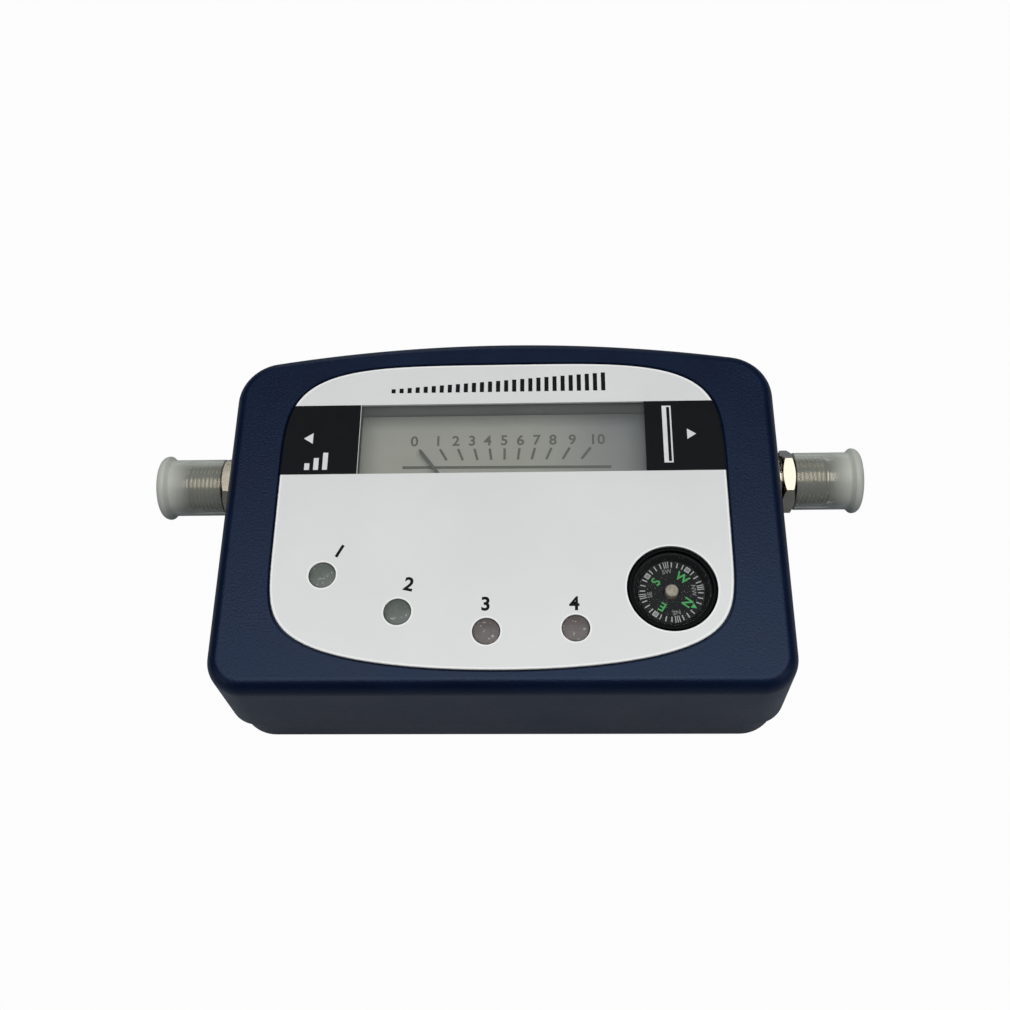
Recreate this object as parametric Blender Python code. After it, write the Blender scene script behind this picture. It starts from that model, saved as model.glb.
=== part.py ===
# Satellite signal meter: a hand-held meter that goes in line with a dish cable.
# A two-part moulded case carries a printed face, a moving-coil level meter, four lamps, a small compass,
# a level thumbwheel in the far wall and one threaded cable socket with its dust cap on each side.
# Metres, +Z up. The underside rests on z = 0 and the box of the whole meter is centred on x = y = 0.

import bpy
import bmesh
from math import cos, sin, tan, pi, sqrt, atan2, radians
from mathutils import Matrix, Vector

for old in list(bpy.data.objects):
    bpy.data.objects.remove(old, do_unlink=True)

# Clearances and finish of the meshes
FIT_GAP = 0.0003            # between pieces that touch, turn or screw into each other
OVERRUN = 0.0010            # how far a cutter runs past what it cuts
MERGE_DISTANCE = 0.000001
SMOOTH_ANGLE = radians(32)
ROUND_STEPS = 20
SMALL_ROUND_STEPS = 12
WIDE_ROUND_STEPS = 36
CORNER_STEPS = 6
ARCH_STEPS = 12
EDGE_STEPS = 4

# Case
CASE_WIDTH = 0.1046         # width, depth and corner radii are those of the open edge of the front shell
CASE_DEPTH = 0.0718
CASE_HEIGHT = 0.0300
REAR_ARCH_RISE = 0.0050     # how far the far edge bows out at its middle
REAR_CORNER_RADIUS = 0.0092
FRONT_CORNER_RADIUS = 0.0058
TOP_CORNER_RADIUS = 0.0070      # the near corners are rounder at the top and round the rear cover
COVER_CORNER_RADIUS = 0.0076
TOP_EDGE_RADIUS = 0.0025
WALL = 0.0020
WALL_DRAFT = 0.0004         # how much the front shell narrows on each side towards its top
COVER_HEIGHT = 0.0090       # where the two shells part
COVER_STEP = 0.0002         # the rear cover is this much smaller all round
COVER_EDGE_RADIUS = 0.0010
LIP_HEIGHT = 0.0015
RIB_THICKNESS = 0.0012
COVER_RIB_HEIGHT = 0.0014
COVER_RIB_SHARES = (-0.44, 0.0, 0.44)

# Screw bosses of the case and their screws
BOSS_INSET = 0.0090
BOSS_DIAMETER = 0.0064
STANDOFF_DIAMETER = 0.0082
CASE_SCREW_SHANK = 0.0026
CASE_SCREW_LENGTH = 0.0115
CASE_SCREW_HEAD = 0.0050
CASE_SCREW_HEAD_HEIGHT = 0.0018
SCREW_HEAD_DEPTH = 0.0007   # from the underside of the case to the top of a screw head

# Face panel, a printed sheet in a shallow recess
PANEL_SIDE_MARGIN = 0.01077
PANEL_FRONT_MARGIN = 0.00413
PANEL_REAR_MARGIN = 0.00619
PANEL_THICKNESS = 0.0005
PANEL_FRONT_POWERS = (2.04, 6.9)        # how squarely the near half bends, across and along
PANEL_REAR_POWERS = (4.1, 5.5)
PANEL_STEPS = 72

# Level meter
WINDOW_WIDTH = 0.0540
WINDOW_HEIGHT = 0.0148
WINDOW_CENTRE_SHARE = 0.4594    # of the panel's reach behind the middle of the case
METER_WALL = 0.0012
METER_COVER_THICKNESS = 0.0010
METER_SIDE_MARGIN = 0.0010      # from the edge of the window to the inner wall of the meter
METER_NARROW_WIDTH = 0.0300     # its near part, which passes beside the compass
METER_NECK_LENGTH = 0.0028      # how far the wide part runs in front of the window
SCALE_DEPTH = 0.0060            # from the top face down to the scale
SCALE_PLATE_THICKNESS = 0.0005
PIVOT_OFFSET_SHARE = 0.3050     # of the depth of the case, from the middle of the window to the pivot
YOKE_SIDE_MARGIN = 0.0006       # between the yoke and the walls of the well
YOKE_FRONT_MARGIN = 0.0004
WELL_CLEARANCE = 0.0013         # from the circuit board up to the well that holds the movement
NEEDLE_PAST_MIDDLE = 0.0054     # how far the needle reaches behind the middle of the window
NEEDLE_WIDTH = 0.0006
NEEDLE_THICKNESS = 0.0003
NEEDLE_HEIGHT = 0.0010          # above the scale
NEEDLE_HUB_DIAMETER = 0.0030
NEEDLE_TAIL = 0.0050
NEEDLE_TAIL_WIDTH = 0.0016
NEEDLE_SWEEP = radians(72.5)    # from the first mark to the last
YOKE_OUTER_DIAMETER = 0.0164
YOKE_BORE = 0.0122
YOKE_TO_NEEDLE = 0.0035
YOKE_ARM_WIDTH = 0.0024
CORE_DIAMETER = 0.0076
COIL_BAR = 0.0009
COIL_WIDTH = 0.0020
PIVOT_DIAMETER = 0.0010
BRIDGE_THICKNESS = 0.0005
BRIDGE_WIDTH = 0.0034
BRIDGE_POST_DIAMETER = 0.0016
BEARING_DIAMETER = 0.0020
HAIR_SPRING_TURNS = 3
HAIR_SPRING_DIAMETER = 0.0066
HAIR_SPRING_THICKNESS = 0.00018
HAIR_SPRING_HEIGHT = 0.0005
HAIR_SPRING_STUD_DIAMETER = 0.0008

# Compass
COMPASS_DIAMETER = 0.0161
COMPASS_PLACE_SHARES = (0.7347, -0.5342)    # of the panel's half width and its reach to the front
COMPASS_BOWL_HEIGHT = 0.0080
COMPASS_BOWL_WALL = 0.0012
COMPASS_FLANGE_DIAMETER = 0.0186
COMPASS_FLANGE_THICKNESS = 0.0012
COMPASS_LENS_THICKNESS = 0.0005
COMPASS_CARD_DEPTH = 0.0020     # from the top face down to the card
COMPASS_CARD_THICKNESS = 0.0003
COMPASS_HUB_DIAMETER = 0.0024
COMPASS_PIN_DIAMETER = 0.0006
COMPASS_MAGNET_BAND = 0.0008     # magnet on each side of the eye that the hub passes through
COMPASS_MAGNET_THICKNESS = 0.0010
COMPASS_NORTH = radians(-36)    # where the north mark points at rest, from +X

# Lamps
LAMP_HOLE_DIAMETER = 0.0050
LAMP_PLACE_SHARES = ((-0.7710, -0.4412), (-0.4358, -0.6644), (-0.0554, -0.7809), (0.3221, -0.7652))
LAMP_DEPTH = 0.0003             # from the top face down to the crown of the lamp
LAMP_LENGTH = 0.0076
LAMP_FLANGE_DIAMETER = 0.0056
LAMP_FLANGE_THICKNESS = 0.0010
LAMP_LEG_DIAMETER = 0.0006
LAMP_LEG_SPACING = 0.0025

# Circuit board
BOARD_THICKNESS = 0.0016
BOARD_EDGE_GAP = 0.0008
BOARD_POST_DIAMETER = 0.0050
BOARD_POST_SHARES = ((-0.735, 0.0), (0.735, 0.0), (0.464, -0.80))
BOARD_SCREW_SHANK = 0.0020
BOARD_SCREW_LENGTH = 0.0060
BOARD_SCREW_HEAD = 0.0038
BOARD_SCREW_HEAD_HEIGHT = 0.0014
SHIELD_LENGTH = 0.0440
SHIELD_WIDTH = 0.0160
SHIELD_CLEARANCE = 0.0007       # from the ribs of the rear cover up to the shield
SHIELD_WALL = 0.0005

# Level thumbwheel
WHEEL_DIAMETER = 0.0190
WHEEL_THICKNESS = 0.0022
WHEEL_PROUD = 0.0018            # how far it stands out of the far wall
WHEEL_RIDGES = 36
WHEEL_RIDGE_DEPTH = 0.0004
WHEEL_BORE = 0.0036
POT_DIAMETER = 0.0086
POT_HEIGHT = 0.0014
WHEEL_SCREW_HEAD = 0.0052
WHEEL_SCREW_HEAD_HEIGHT = 0.0010
WHEEL_SCREW_SHANK = 0.0012
WHEEL_SCREW_LENGTH = 0.0020

# Cable sockets, measured outwards from the flat seat on the side wall
SOCKET_PLACE_SHARE = 0.2949     # of half the depth of the case, behind its middle
SOCKET_HEIGHT_SHARE = 0.5333    # of the height of the case
SEAT_DIAMETER = 0.0134
THREAD_DIAMETER = 0.0094
BARREL_LENGTH = 0.0131
BARREL_BORE = 0.0064
NOSE_DIAMETER = 0.0079      # the plain end of the barrel in front of its thread
NOSE_LENGTH = 0.0020
NOSE_CHAMFER = 0.0002
THREAD_CHAMFER = 0.0004
FLANGE_WIDTH = 0.0120
FLANGE_THICKNESS = 0.0020
INSULATOR_SETBACK = 0.0008
CONTACT_DIAMETER = 0.0010
CONTACT_SETBACK = 0.0030
CONTACT_BEND_RADIUS = 0.0012
CONTACT_TAIL = 0.0046           # from the flange to the leg that stands on the board
WASHER_DIAMETER = 0.0126        # the flat washer, on the right side only
WASHER_THICKNESS = 0.0005
LOCK_WASHER_DIAMETER = 0.0114
LOCK_WASHER_THICKNESS = 0.0005
NUT_ACROSS_FLATS = 0.0110
NUT_THICKNESS = 0.0023
NUT_CHAMFER_ANGLE = radians(30)
LEFT_NUT_TURN = radians(10)
RIGHT_NUT_TURN = radians(-19)
CAP_LENGTH = 0.0127
CAP_WALL = 0.0006
CAP_END_WALL = 0.0008
CAP_BEAD_DIAMETER = 0.0127
CAP_BEAD_LENGTH = 0.0038
CAP_BEAD_RADIUS = 0.0013

# Places that follow from the sizes above
HALF_WIDTH = CASE_WIDTH / 2
HALF_DEPTH = CASE_DEPTH / 2
LEFT_NEARER = WASHER_THICKNESS + FIT_GAP    # how much nearer the left nut and cap sit to their wall
SIDE_SHIFT = -LEFT_NEARER / 2       # these two centre the box, which isn't even across
CASE_SHIFT = -WHEEL_PROUD / 2       # and which the thumbwheel makes deeper
CEILING = CASE_HEIGHT - WALL
PANEL_HALF_WIDTH = HALF_WIDTH - PANEL_SIDE_MARGIN
PANEL_FRONT_REACH = HALF_DEPTH - PANEL_FRONT_MARGIN
PANEL_REAR_REACH = HALF_DEPTH - PANEL_REAR_MARGIN
RECESS_FLOOR = CASE_HEIGHT - PANEL_THICKNESS - FIT_GAP
WINDOW_Y = PANEL_REAR_REACH * WINDOW_CENTRE_SHARE
PIVOT_OFFSET = CASE_DEPTH * PIVOT_OFFSET_SHARE
PIVOT_Y = WINDOW_Y - PIVOT_OFFSET
WELL_WIDTH = YOKE_OUTER_DIAMETER + 2 * (METER_WALL + YOKE_SIDE_MARGIN)
PIVOT_TO_FRONT_WALL = YOKE_OUTER_DIAMETER / 2 + METER_WALL + YOKE_FRONT_MARGIN
NEEDLE_LENGTH = PIVOT_OFFSET + NEEDLE_PAST_MIDDLE
METER_HALF_WIDTH = WINDOW_WIDTH / 2 + METER_SIDE_MARGIN + METER_WALL
METER_REAR_Y = WINDOW_Y + WINDOW_HEIGHT / 2 + METER_SIDE_MARGIN + METER_WALL
METER_NECK_Y = WINDOW_Y - WINDOW_HEIGHT / 2 - METER_NECK_LENGTH
SOCKET_HEIGHT = CASE_HEIGHT * SOCKET_HEIGHT_SHARE
BOARD_TOP = SOCKET_HEIGHT - THREAD_DIAMETER / 2 - 2 * FIT_GAP     # the socket barrels lie just clear of it
BOARD_LEVEL = BOARD_TOP - BOARD_THICKNESS
SOCKET_Y = HALF_DEPTH * SOCKET_PLACE_SHARE
SEAT_X = HALF_WIDTH - WALL_DRAFT
REAR_BOSS_Y = HALF_DEPTH - REAR_ARCH_RISE - BOSS_INSET
FRONT_BOSS_Y = -HALF_DEPTH + BOSS_INSET
BOSS_X = HALF_WIDTH - BOSS_INSET
BOSS_PLACES = [(x, y) for y in (FRONT_BOSS_Y, REAR_BOSS_Y) for x in (-BOSS_X, BOSS_X)]
POST_PLACES = [(HALF_WIDTH * across, HALF_DEPTH * along) for across, along in BOARD_POST_SHARES]
LAMP_PLACES = [(PANEL_HALF_WIDTH * across, PANEL_FRONT_REACH * along) for across, along in LAMP_PLACE_SHARES]
COMPASS_X = PANEL_HALF_WIDTH * COMPASS_PLACE_SHARES[0]
COMPASS_Y = PANEL_FRONT_REACH * COMPASS_PLACE_SHARES[1]
WHEEL_Y = HALF_DEPTH + WHEEL_PROUD - WHEEL_DIAMETER / 2
POT_BASE = BOARD_TOP + FIT_GAP
WHEEL_BASE = POT_BASE + POT_HEIGHT + FIT_GAP
WHEEL_TOP = WHEEL_BASE + WHEEL_THICKNESS


def finish(name, red, green, blue, roughness, metallic=0.0, alpha=1.0):
    """A plain Principled material with linear colour values."""
    material = bpy.data.materials.new(name)
    material.use_nodes = True
    shader = material.node_tree.nodes["Principled BSDF"]
    shader.inputs["Base Color"].default_value = (red, green, blue, 1.0)
    shader.inputs["Roughness"].default_value = roughness
    shader.inputs["Metallic"].default_value = metallic
    shader.inputs["Alpha"].default_value = alpha
    material.diffuse_color = (red, green, blue, alpha)
    return material


NAVY_PLASTIC = finish("navy_plastic", 0.016, 0.026, 0.074, 0.45)
SILVER_SHEET = finish("silver_sheet", 0.66, 0.68, 0.68, 0.35, 0.2)
CLEAR_PLASTIC = finish("clear_plastic", 0.85, 0.87, 0.87, 0.08, 0.0, 0.25)
GREY_PLASTIC = finish("grey_plastic", 0.30, 0.31, 0.31, 0.50)
SCALE_CARD = finish("scale_card", 0.42, 0.42, 0.35, 0.60)
BLACK_PLASTIC = finish("black_plastic", 0.008, 0.008, 0.009, 0.35)
WHITE_PLASTIC = finish("white_plastic", 0.72, 0.72, 0.70, 0.40)
MILKY_PLASTIC = finish("milky_plastic", 0.55, 0.57, 0.54, 0.30, 0.0, 0.5)
NICKEL = finish("nickel", 0.58, 0.55, 0.50, 0.25, 1.0)
STEEL = finish("steel", 0.45, 0.46, 0.47, 0.35, 1.0)
BRASS = finish("brass", 0.60, 0.43, 0.18, 0.30, 1.0)
COPPER = finish("copper", 0.55, 0.24, 0.12, 0.40, 1.0)
MAGNET = finish("magnet", 0.12, 0.12, 0.13, 0.40, 1.0)
TINPLATE = finish("tinplate", 0.60, 0.61, 0.62, 0.30, 1.0)
BOARD_LAMINATE = finish("board_laminate", 0.02, 0.12, 0.05, 0.45)
LAMP_RESIN = finish("lamp_resin", 0.32, 0.33, 0.32, 0.12)

frame = bpy.data.objects.new("meter_frame", None)
frame.location = (SIDE_SHIFT, CASE_SHIFT, 0)
bpy.context.scene.collection.objects.link(frame)


# Building shapes

def ring_at(points, height):
    return [(x, y, height) for x, y in points]


def loft(bm, rings):
    """Skins a run of rings that have the same number of points, and closes the two ends."""
    loops = [[bm.verts.new(point) for point in ring] for ring in rings]
    for lower, upper in zip(loops, loops[1:]):
        for i, corner in enumerate(lower):
            j = (i + 1) % len(lower)
            bm.faces.new((corner, lower[j], upper[j], upper[i]))
    bm.faces.new(loops[0])
    bm.faces.new(loops[-1])


def prism(bm, points, base, top):
    loft(bm, [ring_at(points, base), ring_at(points, top)])


def block(bm, size, centre):
    place = Matrix.Translation(centre) @ Matrix.Diagonal((*size, 1))
    bmesh.ops.create_cube(bm, size=1, matrix=place)


def rod(bm, diameter, start, end, steps=ROUND_STEPS, end_diameter=None):
    """A round bar between two points, tapered where an end diameter is given."""
    start, end = Vector(start), Vector(end)
    along = end - start
    turn = Vector((0, 0, 1)).rotation_difference(along).to_matrix().to_4x4()
    place = Matrix.Translation((start + end) / 2) @ turn
    second = diameter if end_diameter is None else end_diameter
    bmesh.ops.create_cone(bm, cap_ends=True, segments=steps, radius1=diameter / 2, radius2=second / 2,
                          depth=along.length, matrix=place)


def turned(bm, profile, steps=ROUND_STEPS, closed=False):
    """Spins a profile of (radius, height) points about Z."""
    verts = [bm.verts.new((radius, 0, height)) for radius, height in profile]
    pairs = list(zip(verts, verts[1:]))
    if closed:
        pairs.append((verts[-1], verts[0]))
    edges = [bm.edges.new(pair) for pair in pairs]
    bmesh.ops.spin(bm, geom=verts + edges, cent=(0, 0, 0), axis=(0, 0, 1), angle=2 * pi, steps=steps,
                   use_merge=True)
    bmesh.ops.remove_doubles(bm, verts=bm.verts, dist=MERGE_DISTANCE)


def lay_along_x(bm):
    bmesh.ops.rotate(bm, verts=bm.verts, cent=(0, 0, 0), matrix=Matrix.Rotation(pi / 2, 3, "Y"))


def arc(centre, radius, first, last, steps):
    """Points of an arc, both ends included."""
    angles = [first + (last - first) * i / steps for i in range(steps + 1)]
    return [(centre[0] + radius * cos(angle), centre[1] + radius * sin(angle)) for angle in angles]


def mesh_from(name, bm):
    bmesh.ops.recalc_face_normals(bm, faces=bm.faces)
    mesh = bpy.data.meshes.new(name)
    bm.to_mesh(mesh)
    bm.free()
    mesh.shade_smooth()
    mesh.set_sharp_from_angle(angle=SMOOTH_ANGLE)
    return mesh


def place(name, mesh, material, location=(0, 0, 0), turn=(0, 0, 0)):
    """One sub-part as an object on the frame of the meter."""
    piece = bpy.data.objects.new(name, mesh)
    if material.name not in mesh.materials:
        mesh.materials.append(material)
    piece.location = location
    piece.rotation_euler = turn
    piece.parent = frame
    bpy.context.scene.collection.objects.link(piece)
    return piece


def tool(name, bm):
    """A shape that only cuts, joins or trims, and is no sub-part itself."""
    shape = bpy.data.objects.new(name, mesh_from(name, bm))
    shape.parent = frame
    shape.hide_render = True
    shape.display_type = "WIRE"
    bpy.context.scene.collection.objects.link(shape)
    return shape


def combine(piece, shape, operation="DIFFERENCE"):
    modifier = piece.modifiers.new(shape.name, "BOOLEAN")
    modifier.operation = operation
    modifier.solver = "EXACT"
    modifier.object = shape


def settle(piece):
    """Turns the modifiers of a piece into its mesh, so that copies can share it."""
    bpy.context.view_layer.update()
    result = piece.evaluated_get(bpy.context.evaluated_depsgraph_get())
    mesh = bpy.data.meshes.new_from_object(result)
    piece.modifiers.clear()
    piece.data = mesh
    return mesh


# Outlines

def case_outline(inset, front_radius=FRONT_CORNER_RADIUS):
    """The plan of the case drawn in by an inset: straight front and sides, and a bowed far edge."""
    arch_radius = (HALF_WIDTH ** 2 + REAR_ARCH_RISE ** 2) / (2 * REAR_ARCH_RISE)
    arch_y = HALF_DEPTH - arch_radius
    front_x = HALF_WIDTH - front_radius
    front_y = -HALF_DEPTH + front_radius
    rear_x = HALF_WIDTH - REAR_CORNER_RADIUS
    rear_y = arch_y + sqrt((arch_radius - REAR_CORNER_RADIUS) ** 2 - rear_x ** 2)
    corner = atan2(rear_y - arch_y, rear_x)
    points = arc((-front_x, front_y), front_radius - inset, pi, 1.5 * pi, CORNER_STEPS)
    points += arc((front_x, front_y), front_radius - inset, 1.5 * pi, 2 * pi, CORNER_STEPS)
    points += arc((rear_x, rear_y), REAR_CORNER_RADIUS - inset, 0, corner, CORNER_STEPS)
    points += arc((0, arch_y), arch_radius - inset, corner, pi - corner, ARCH_STEPS)[1:-1]
    points += arc((-rear_x, rear_y), REAR_CORNER_RADIUS - inset, pi - corner, pi, CORNER_STEPS)
    return points


def panel_outline(grow):
    """A rounded outline with its own reach and powers to the front and the rear."""
    points = []
    for i in range(PANEL_STEPS):
        angle = 2 * pi * i / PANEL_STEPS
        across, along = cos(angle), sin(angle)
        across_power, along_power = PANEL_REAR_POWERS if along > 0 else PANEL_FRONT_POWERS
        reach = PANEL_REAR_REACH if along > 0 else PANEL_FRONT_REACH
        x = (PANEL_HALF_WIDTH + grow) * abs(across) ** (2 / across_power) * (1 if across > 0 else -1)
        y = (reach + grow) * abs(along) ** (2 / along_power) * (1 if along > 0 else -1)
        points.append((x, y))
    return points


def window_frame_outline(grow):
    """The wide part of the meter, which stands up through the shell to the back of the panel."""
    wide = METER_HALF_WIDTH + grow
    return [(-wide, METER_NECK_Y - grow), (wide, METER_NECK_Y - grow),
            (wide, METER_REAR_Y + grow), (-wide, METER_REAR_Y + grow)]


def meter_outline(grow):
    """The T-shaped plan of the meter: wide under the window and narrow over the movement."""
    near_left, near_right, far_right, far_left = window_frame_outline(grow)
    narrow = METER_NARROW_WIDTH / 2 + grow
    front = PIVOT_Y - PIVOT_TO_FRONT_WALL - grow
    return [(-narrow, front), (narrow, front), (narrow, near_right[1]), near_right,
            far_right, far_left, near_left, (-narrow, near_left[1])]


# Front shell

def front_shell():
    rings = []
    for i in range(EDGE_STEPS + 1):
        angle = pi / 2 * i / EDGE_STEPS
        inset = WALL_DRAFT + TOP_EDGE_RADIUS * (1 - sin(angle))
        rings.append(ring_at(case_outline(inset, TOP_CORNER_RADIUS),
                             CASE_HEIGHT - TOP_EDGE_RADIUS * (1 - cos(angle))))
    rabbet = WALL / 2
    rabbet_top = COVER_HEIGHT + LIP_HEIGHT + FIT_GAP
    rings.append(ring_at(case_outline(0), COVER_HEIGHT))
    rings.append(ring_at(case_outline(rabbet), COVER_HEIGHT))
    rings.append(ring_at(case_outline(rabbet), rabbet_top))
    rings.append(ring_at(case_outline(WALL), rabbet_top))
    rings.append(ring_at(case_outline(WALL_DRAFT + WALL, TOP_CORNER_RADIUS), CASE_HEIGHT - TOP_EDGE_RADIUS))
    rings.append(ring_at(case_outline(WALL_DRAFT + TOP_EDGE_RADIUS, TOP_CORNER_RADIUS), CEILING))
    bm = bmesh.new()
    loft(bm, rings)
    shell = place("front_shell", mesh_from("front_shell", bm), NAVY_PLASTIC)

    bm = bmesh.new()
    for x, y in BOSS_PLACES:
        rod(bm, BOSS_DIAMETER, (x, y, COVER_HEIGHT), (x, y, CEILING + WALL / 2), SMALL_ROUND_STEPS)
    for x, y in POST_PLACES:
        rod(bm, BOARD_POST_DIAMETER, (x, y, BOARD_TOP + FIT_GAP), (x, y, CEILING + WALL / 2),
            SMALL_ROUND_STEPS)
    combine(shell, tool("shell_bosses", bm), "UNION")

    bm = bmesh.new()
    rib_base = BOARD_TOP + FIT_GAP + WALL
    rib_height = CEILING + WALL / 2 - rib_base
    for x, y in BOSS_PLACES:
        side = 1 if x > 0 else -1
        rib_length = BOSS_INSET - WALL / 2 - BOSS_DIAMETER / 4
        rib_middle = HALF_WIDTH - WALL / 2 - WALL_DRAFT - rib_length / 2
        block(bm, (rib_length, RIB_THICKNESS, rib_height), (side * rib_middle, y, rib_base + rib_height / 2))
    combine(shell, tool("shell_ribs", bm), "UNION")

    bm = bmesh.new()
    prism(bm, panel_outline(FIT_GAP), RECESS_FLOOR, CASE_HEIGHT + OVERRUN)
    combine(shell, tool("panel_recess", bm))

    bm = bmesh.new()
    prism(bm, window_frame_outline(FIT_GAP), CEILING - OVERRUN, CASE_HEIGHT + OVERRUN)
    rod(bm, COMPASS_DIAMETER, (COMPASS_X, COMPASS_Y, CEILING - OVERRUN),
        (COMPASS_X, COMPASS_Y, CASE_HEIGHT + OVERRUN), WIDE_ROUND_STEPS)
    for x, y in LAMP_PLACES:
        rod(bm, LAMP_HOLE_DIAMETER, (x, y, CEILING - OVERRUN), (x, y, CASE_HEIGHT + OVERRUN))
    combine(shell, tool("face_openings", bm))

    bm = bmesh.new()
    for x, y in BOSS_PLACES:
        rod(bm, CASE_SCREW_SHANK + 2 * FIT_GAP, (x, y, COVER_HEIGHT - OVERRUN),
            (x, y, SCREW_HEAD_DEPTH + CASE_SCREW_HEAD_HEIGHT + CASE_SCREW_LENGTH + OVERRUN),
            SMALL_ROUND_STEPS)
    for x, y in POST_PLACES:
        rod(bm, BOARD_SCREW_SHANK + 2 * FIT_GAP, (x, y, BOARD_TOP),
            (x, y, BOARD_LEVEL - FIT_GAP + BOARD_SCREW_LENGTH + OVERRUN), SMALL_ROUND_STEPS)
    combine(shell, tool("screw_pilots", bm))

    bm = bmesh.new()
    for side in (-1, 1):
        inner = side * (SEAT_X - WALL - OVERRUN)
        rod(bm, THREAD_DIAMETER + 2 * FIT_GAP, (inner, SOCKET_Y, SOCKET_HEIGHT),
            (side * (HALF_WIDTH + OVERRUN), SOCKET_Y, SOCKET_HEIGHT))
    combine(shell, tool("socket_holes", bm))

    bm = bmesh.new()
    for side in (-1, 1):
        rod(bm, SEAT_DIAMETER, (side * SEAT_X, SOCKET_Y, SOCKET_HEIGHT),
            (side * (HALF_WIDTH + OVERRUN), SOCKET_Y, SOCKET_HEIGHT))
    combine(shell, tool("socket_seats", bm))

    bm = bmesh.new()
    inner_y = HALF_DEPTH - WALL - WALL_DRAFT - OVERRUN
    slot_half = sqrt((WHEEL_DIAMETER / 2) ** 2 - (inner_y - WHEEL_Y) ** 2) + FIT_GAP
    slot_height = WHEEL_THICKNESS + 2 * FIT_GAP
    slot_depth = HALF_DEPTH + OVERRUN - inner_y
    block(bm, (2 * slot_half, slot_depth, slot_height),
          (0, inner_y + slot_depth / 2, WHEEL_BASE + WHEEL_THICKNESS / 2))
    combine(shell, tool("wheel_slot", bm))


# Rear cover

def rear_cover():
    outer = COVER_STEP
    lip = WALL / 2 + FIT_GAP
    inner = outer + WALL
    rim = COVER_HEIGHT - FIT_GAP
    lip_top = COVER_HEIGHT + LIP_HEIGHT
    rings = []
    for i in range(EDGE_STEPS + 1):
        angle = pi / 2 * i / EDGE_STEPS
        inset = outer + COVER_EDGE_RADIUS * (1 - sin(angle))
        rings.append(ring_at(case_outline(inset, COVER_CORNER_RADIUS), COVER_EDGE_RADIUS * (1 - cos(angle))))
    rings.append(ring_at(case_outline(outer, COVER_CORNER_RADIUS), rim))
    rings.append(ring_at(case_outline(lip), rim))
    rings.append(ring_at(case_outline(lip), lip_top))
    rings.append(ring_at(case_outline(inner), lip_top))
    rings.append(ring_at(case_outline(inner, COVER_CORNER_RADIUS), WALL))
    bm = bmesh.new()
    loft(bm, rings)
    cover = place("rear_cover", mesh_from("rear_cover", bm), NAVY_PLASTIC)

    bm = bmesh.new()
    for x, y in BOSS_PLACES:
        rod(bm, STANDOFF_DIAMETER, (x, y, WALL / 2), (x, y, rim), SMALL_ROUND_STEPS)
    combine(cover, tool("cover_standoffs", bm), "UNION")

    bm = bmesh.new()
    rib_length = 2 * (BOSS_X - STANDOFF_DIAMETER / 2 - WALL)
    for share in COVER_RIB_SHARES:
        block(bm, (rib_length, RIB_THICKNESS, WALL / 2 + COVER_RIB_HEIGHT),
              (0, HALF_DEPTH * share, WALL / 2 + (WALL / 2 + COVER_RIB_HEIGHT) / 2))
    combine(cover, tool("cover_ribs", bm), "UNION")

    bm = bmesh.new()
    for x, y in BOSS_PLACES:
        rod(bm, CASE_SCREW_HEAD + 2 * FIT_GAP, (x, y, -OVERRUN),
            (x, y, SCREW_HEAD_DEPTH + CASE_SCREW_HEAD_HEIGHT + FIT_GAP), SMALL_ROUND_STEPS)
    combine(cover, tool("head_wells", bm))

    bm = bmesh.new()
    for x, y in BOSS_PLACES:
        rod(bm, CASE_SCREW_SHANK + 2 * FIT_GAP, (x, y, SCREW_HEAD_DEPTH), (x, y, rim + OVERRUN),
            SMALL_ROUND_STEPS)
    combine(cover, tool("shank_holes", bm))


# Screws of one kind share a mesh: a pan head, and a shank that points up

def screw_mesh(name, head_diameter, head_height, shank_diameter, length):
    head, shank = head_diameter / 2, shank_diameter / 2
    crown = head_height / 3
    bm = bmesh.new()
    turned(bm, [(0, -head_height), (head - crown, -head_height), (head, crown - head_height), (head, 0),
                (shank, 0), (shank, length - shank), (0, length)], SMALL_ROUND_STEPS)
    return mesh_from(name, bm)


def screws():
    case_mesh = screw_mesh("case_screw", CASE_SCREW_HEAD, CASE_SCREW_HEAD_HEIGHT, CASE_SCREW_SHANK,
                           CASE_SCREW_LENGTH)
    for number, (x, y) in enumerate(BOSS_PLACES, 1):
        place(f"case_screw_{number}", case_mesh, STEEL, (x, y, SCREW_HEAD_DEPTH + CASE_SCREW_HEAD_HEIGHT))
    board_mesh = screw_mesh("board_screw", BOARD_SCREW_HEAD, BOARD_SCREW_HEAD_HEIGHT, BOARD_SCREW_SHANK,
                            BOARD_SCREW_LENGTH)
    for number, (x, y) in enumerate(POST_PLACES, 1):
        place(f"board_screw_{number}", board_mesh, STEEL, (x, y, BOARD_LEVEL - FIT_GAP))


# Face panel

def face_panel():
    bm = bmesh.new()
    prism(bm, panel_outline(0), CASE_HEIGHT - PANEL_THICKNESS, CASE_HEIGHT)
    panel = place("face_panel", mesh_from("face_panel", bm), SILVER_SHEET)
    bm = bmesh.new()
    block(bm, (WINDOW_WIDTH, WINDOW_HEIGHT, 2 * WALL), (0, WINDOW_Y, CASE_HEIGHT))
    rod(bm, COMPASS_DIAMETER, (COMPASS_X, COMPASS_Y, CEILING), (COMPASS_X, COMPASS_Y, CASE_HEIGHT + OVERRUN),
        WIDE_ROUND_STEPS)
    for x, y in LAMP_PLACES:
        rod(bm, LAMP_HOLE_DIAMETER, (x, y, CEILING), (x, y, CASE_HEIGHT + OVERRUN))
    combine(panel, tool("panel_openings", bm))


# Level meter: a case with a clear cover, the scale, and a moving coil in a well under the needle's pivot

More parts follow.
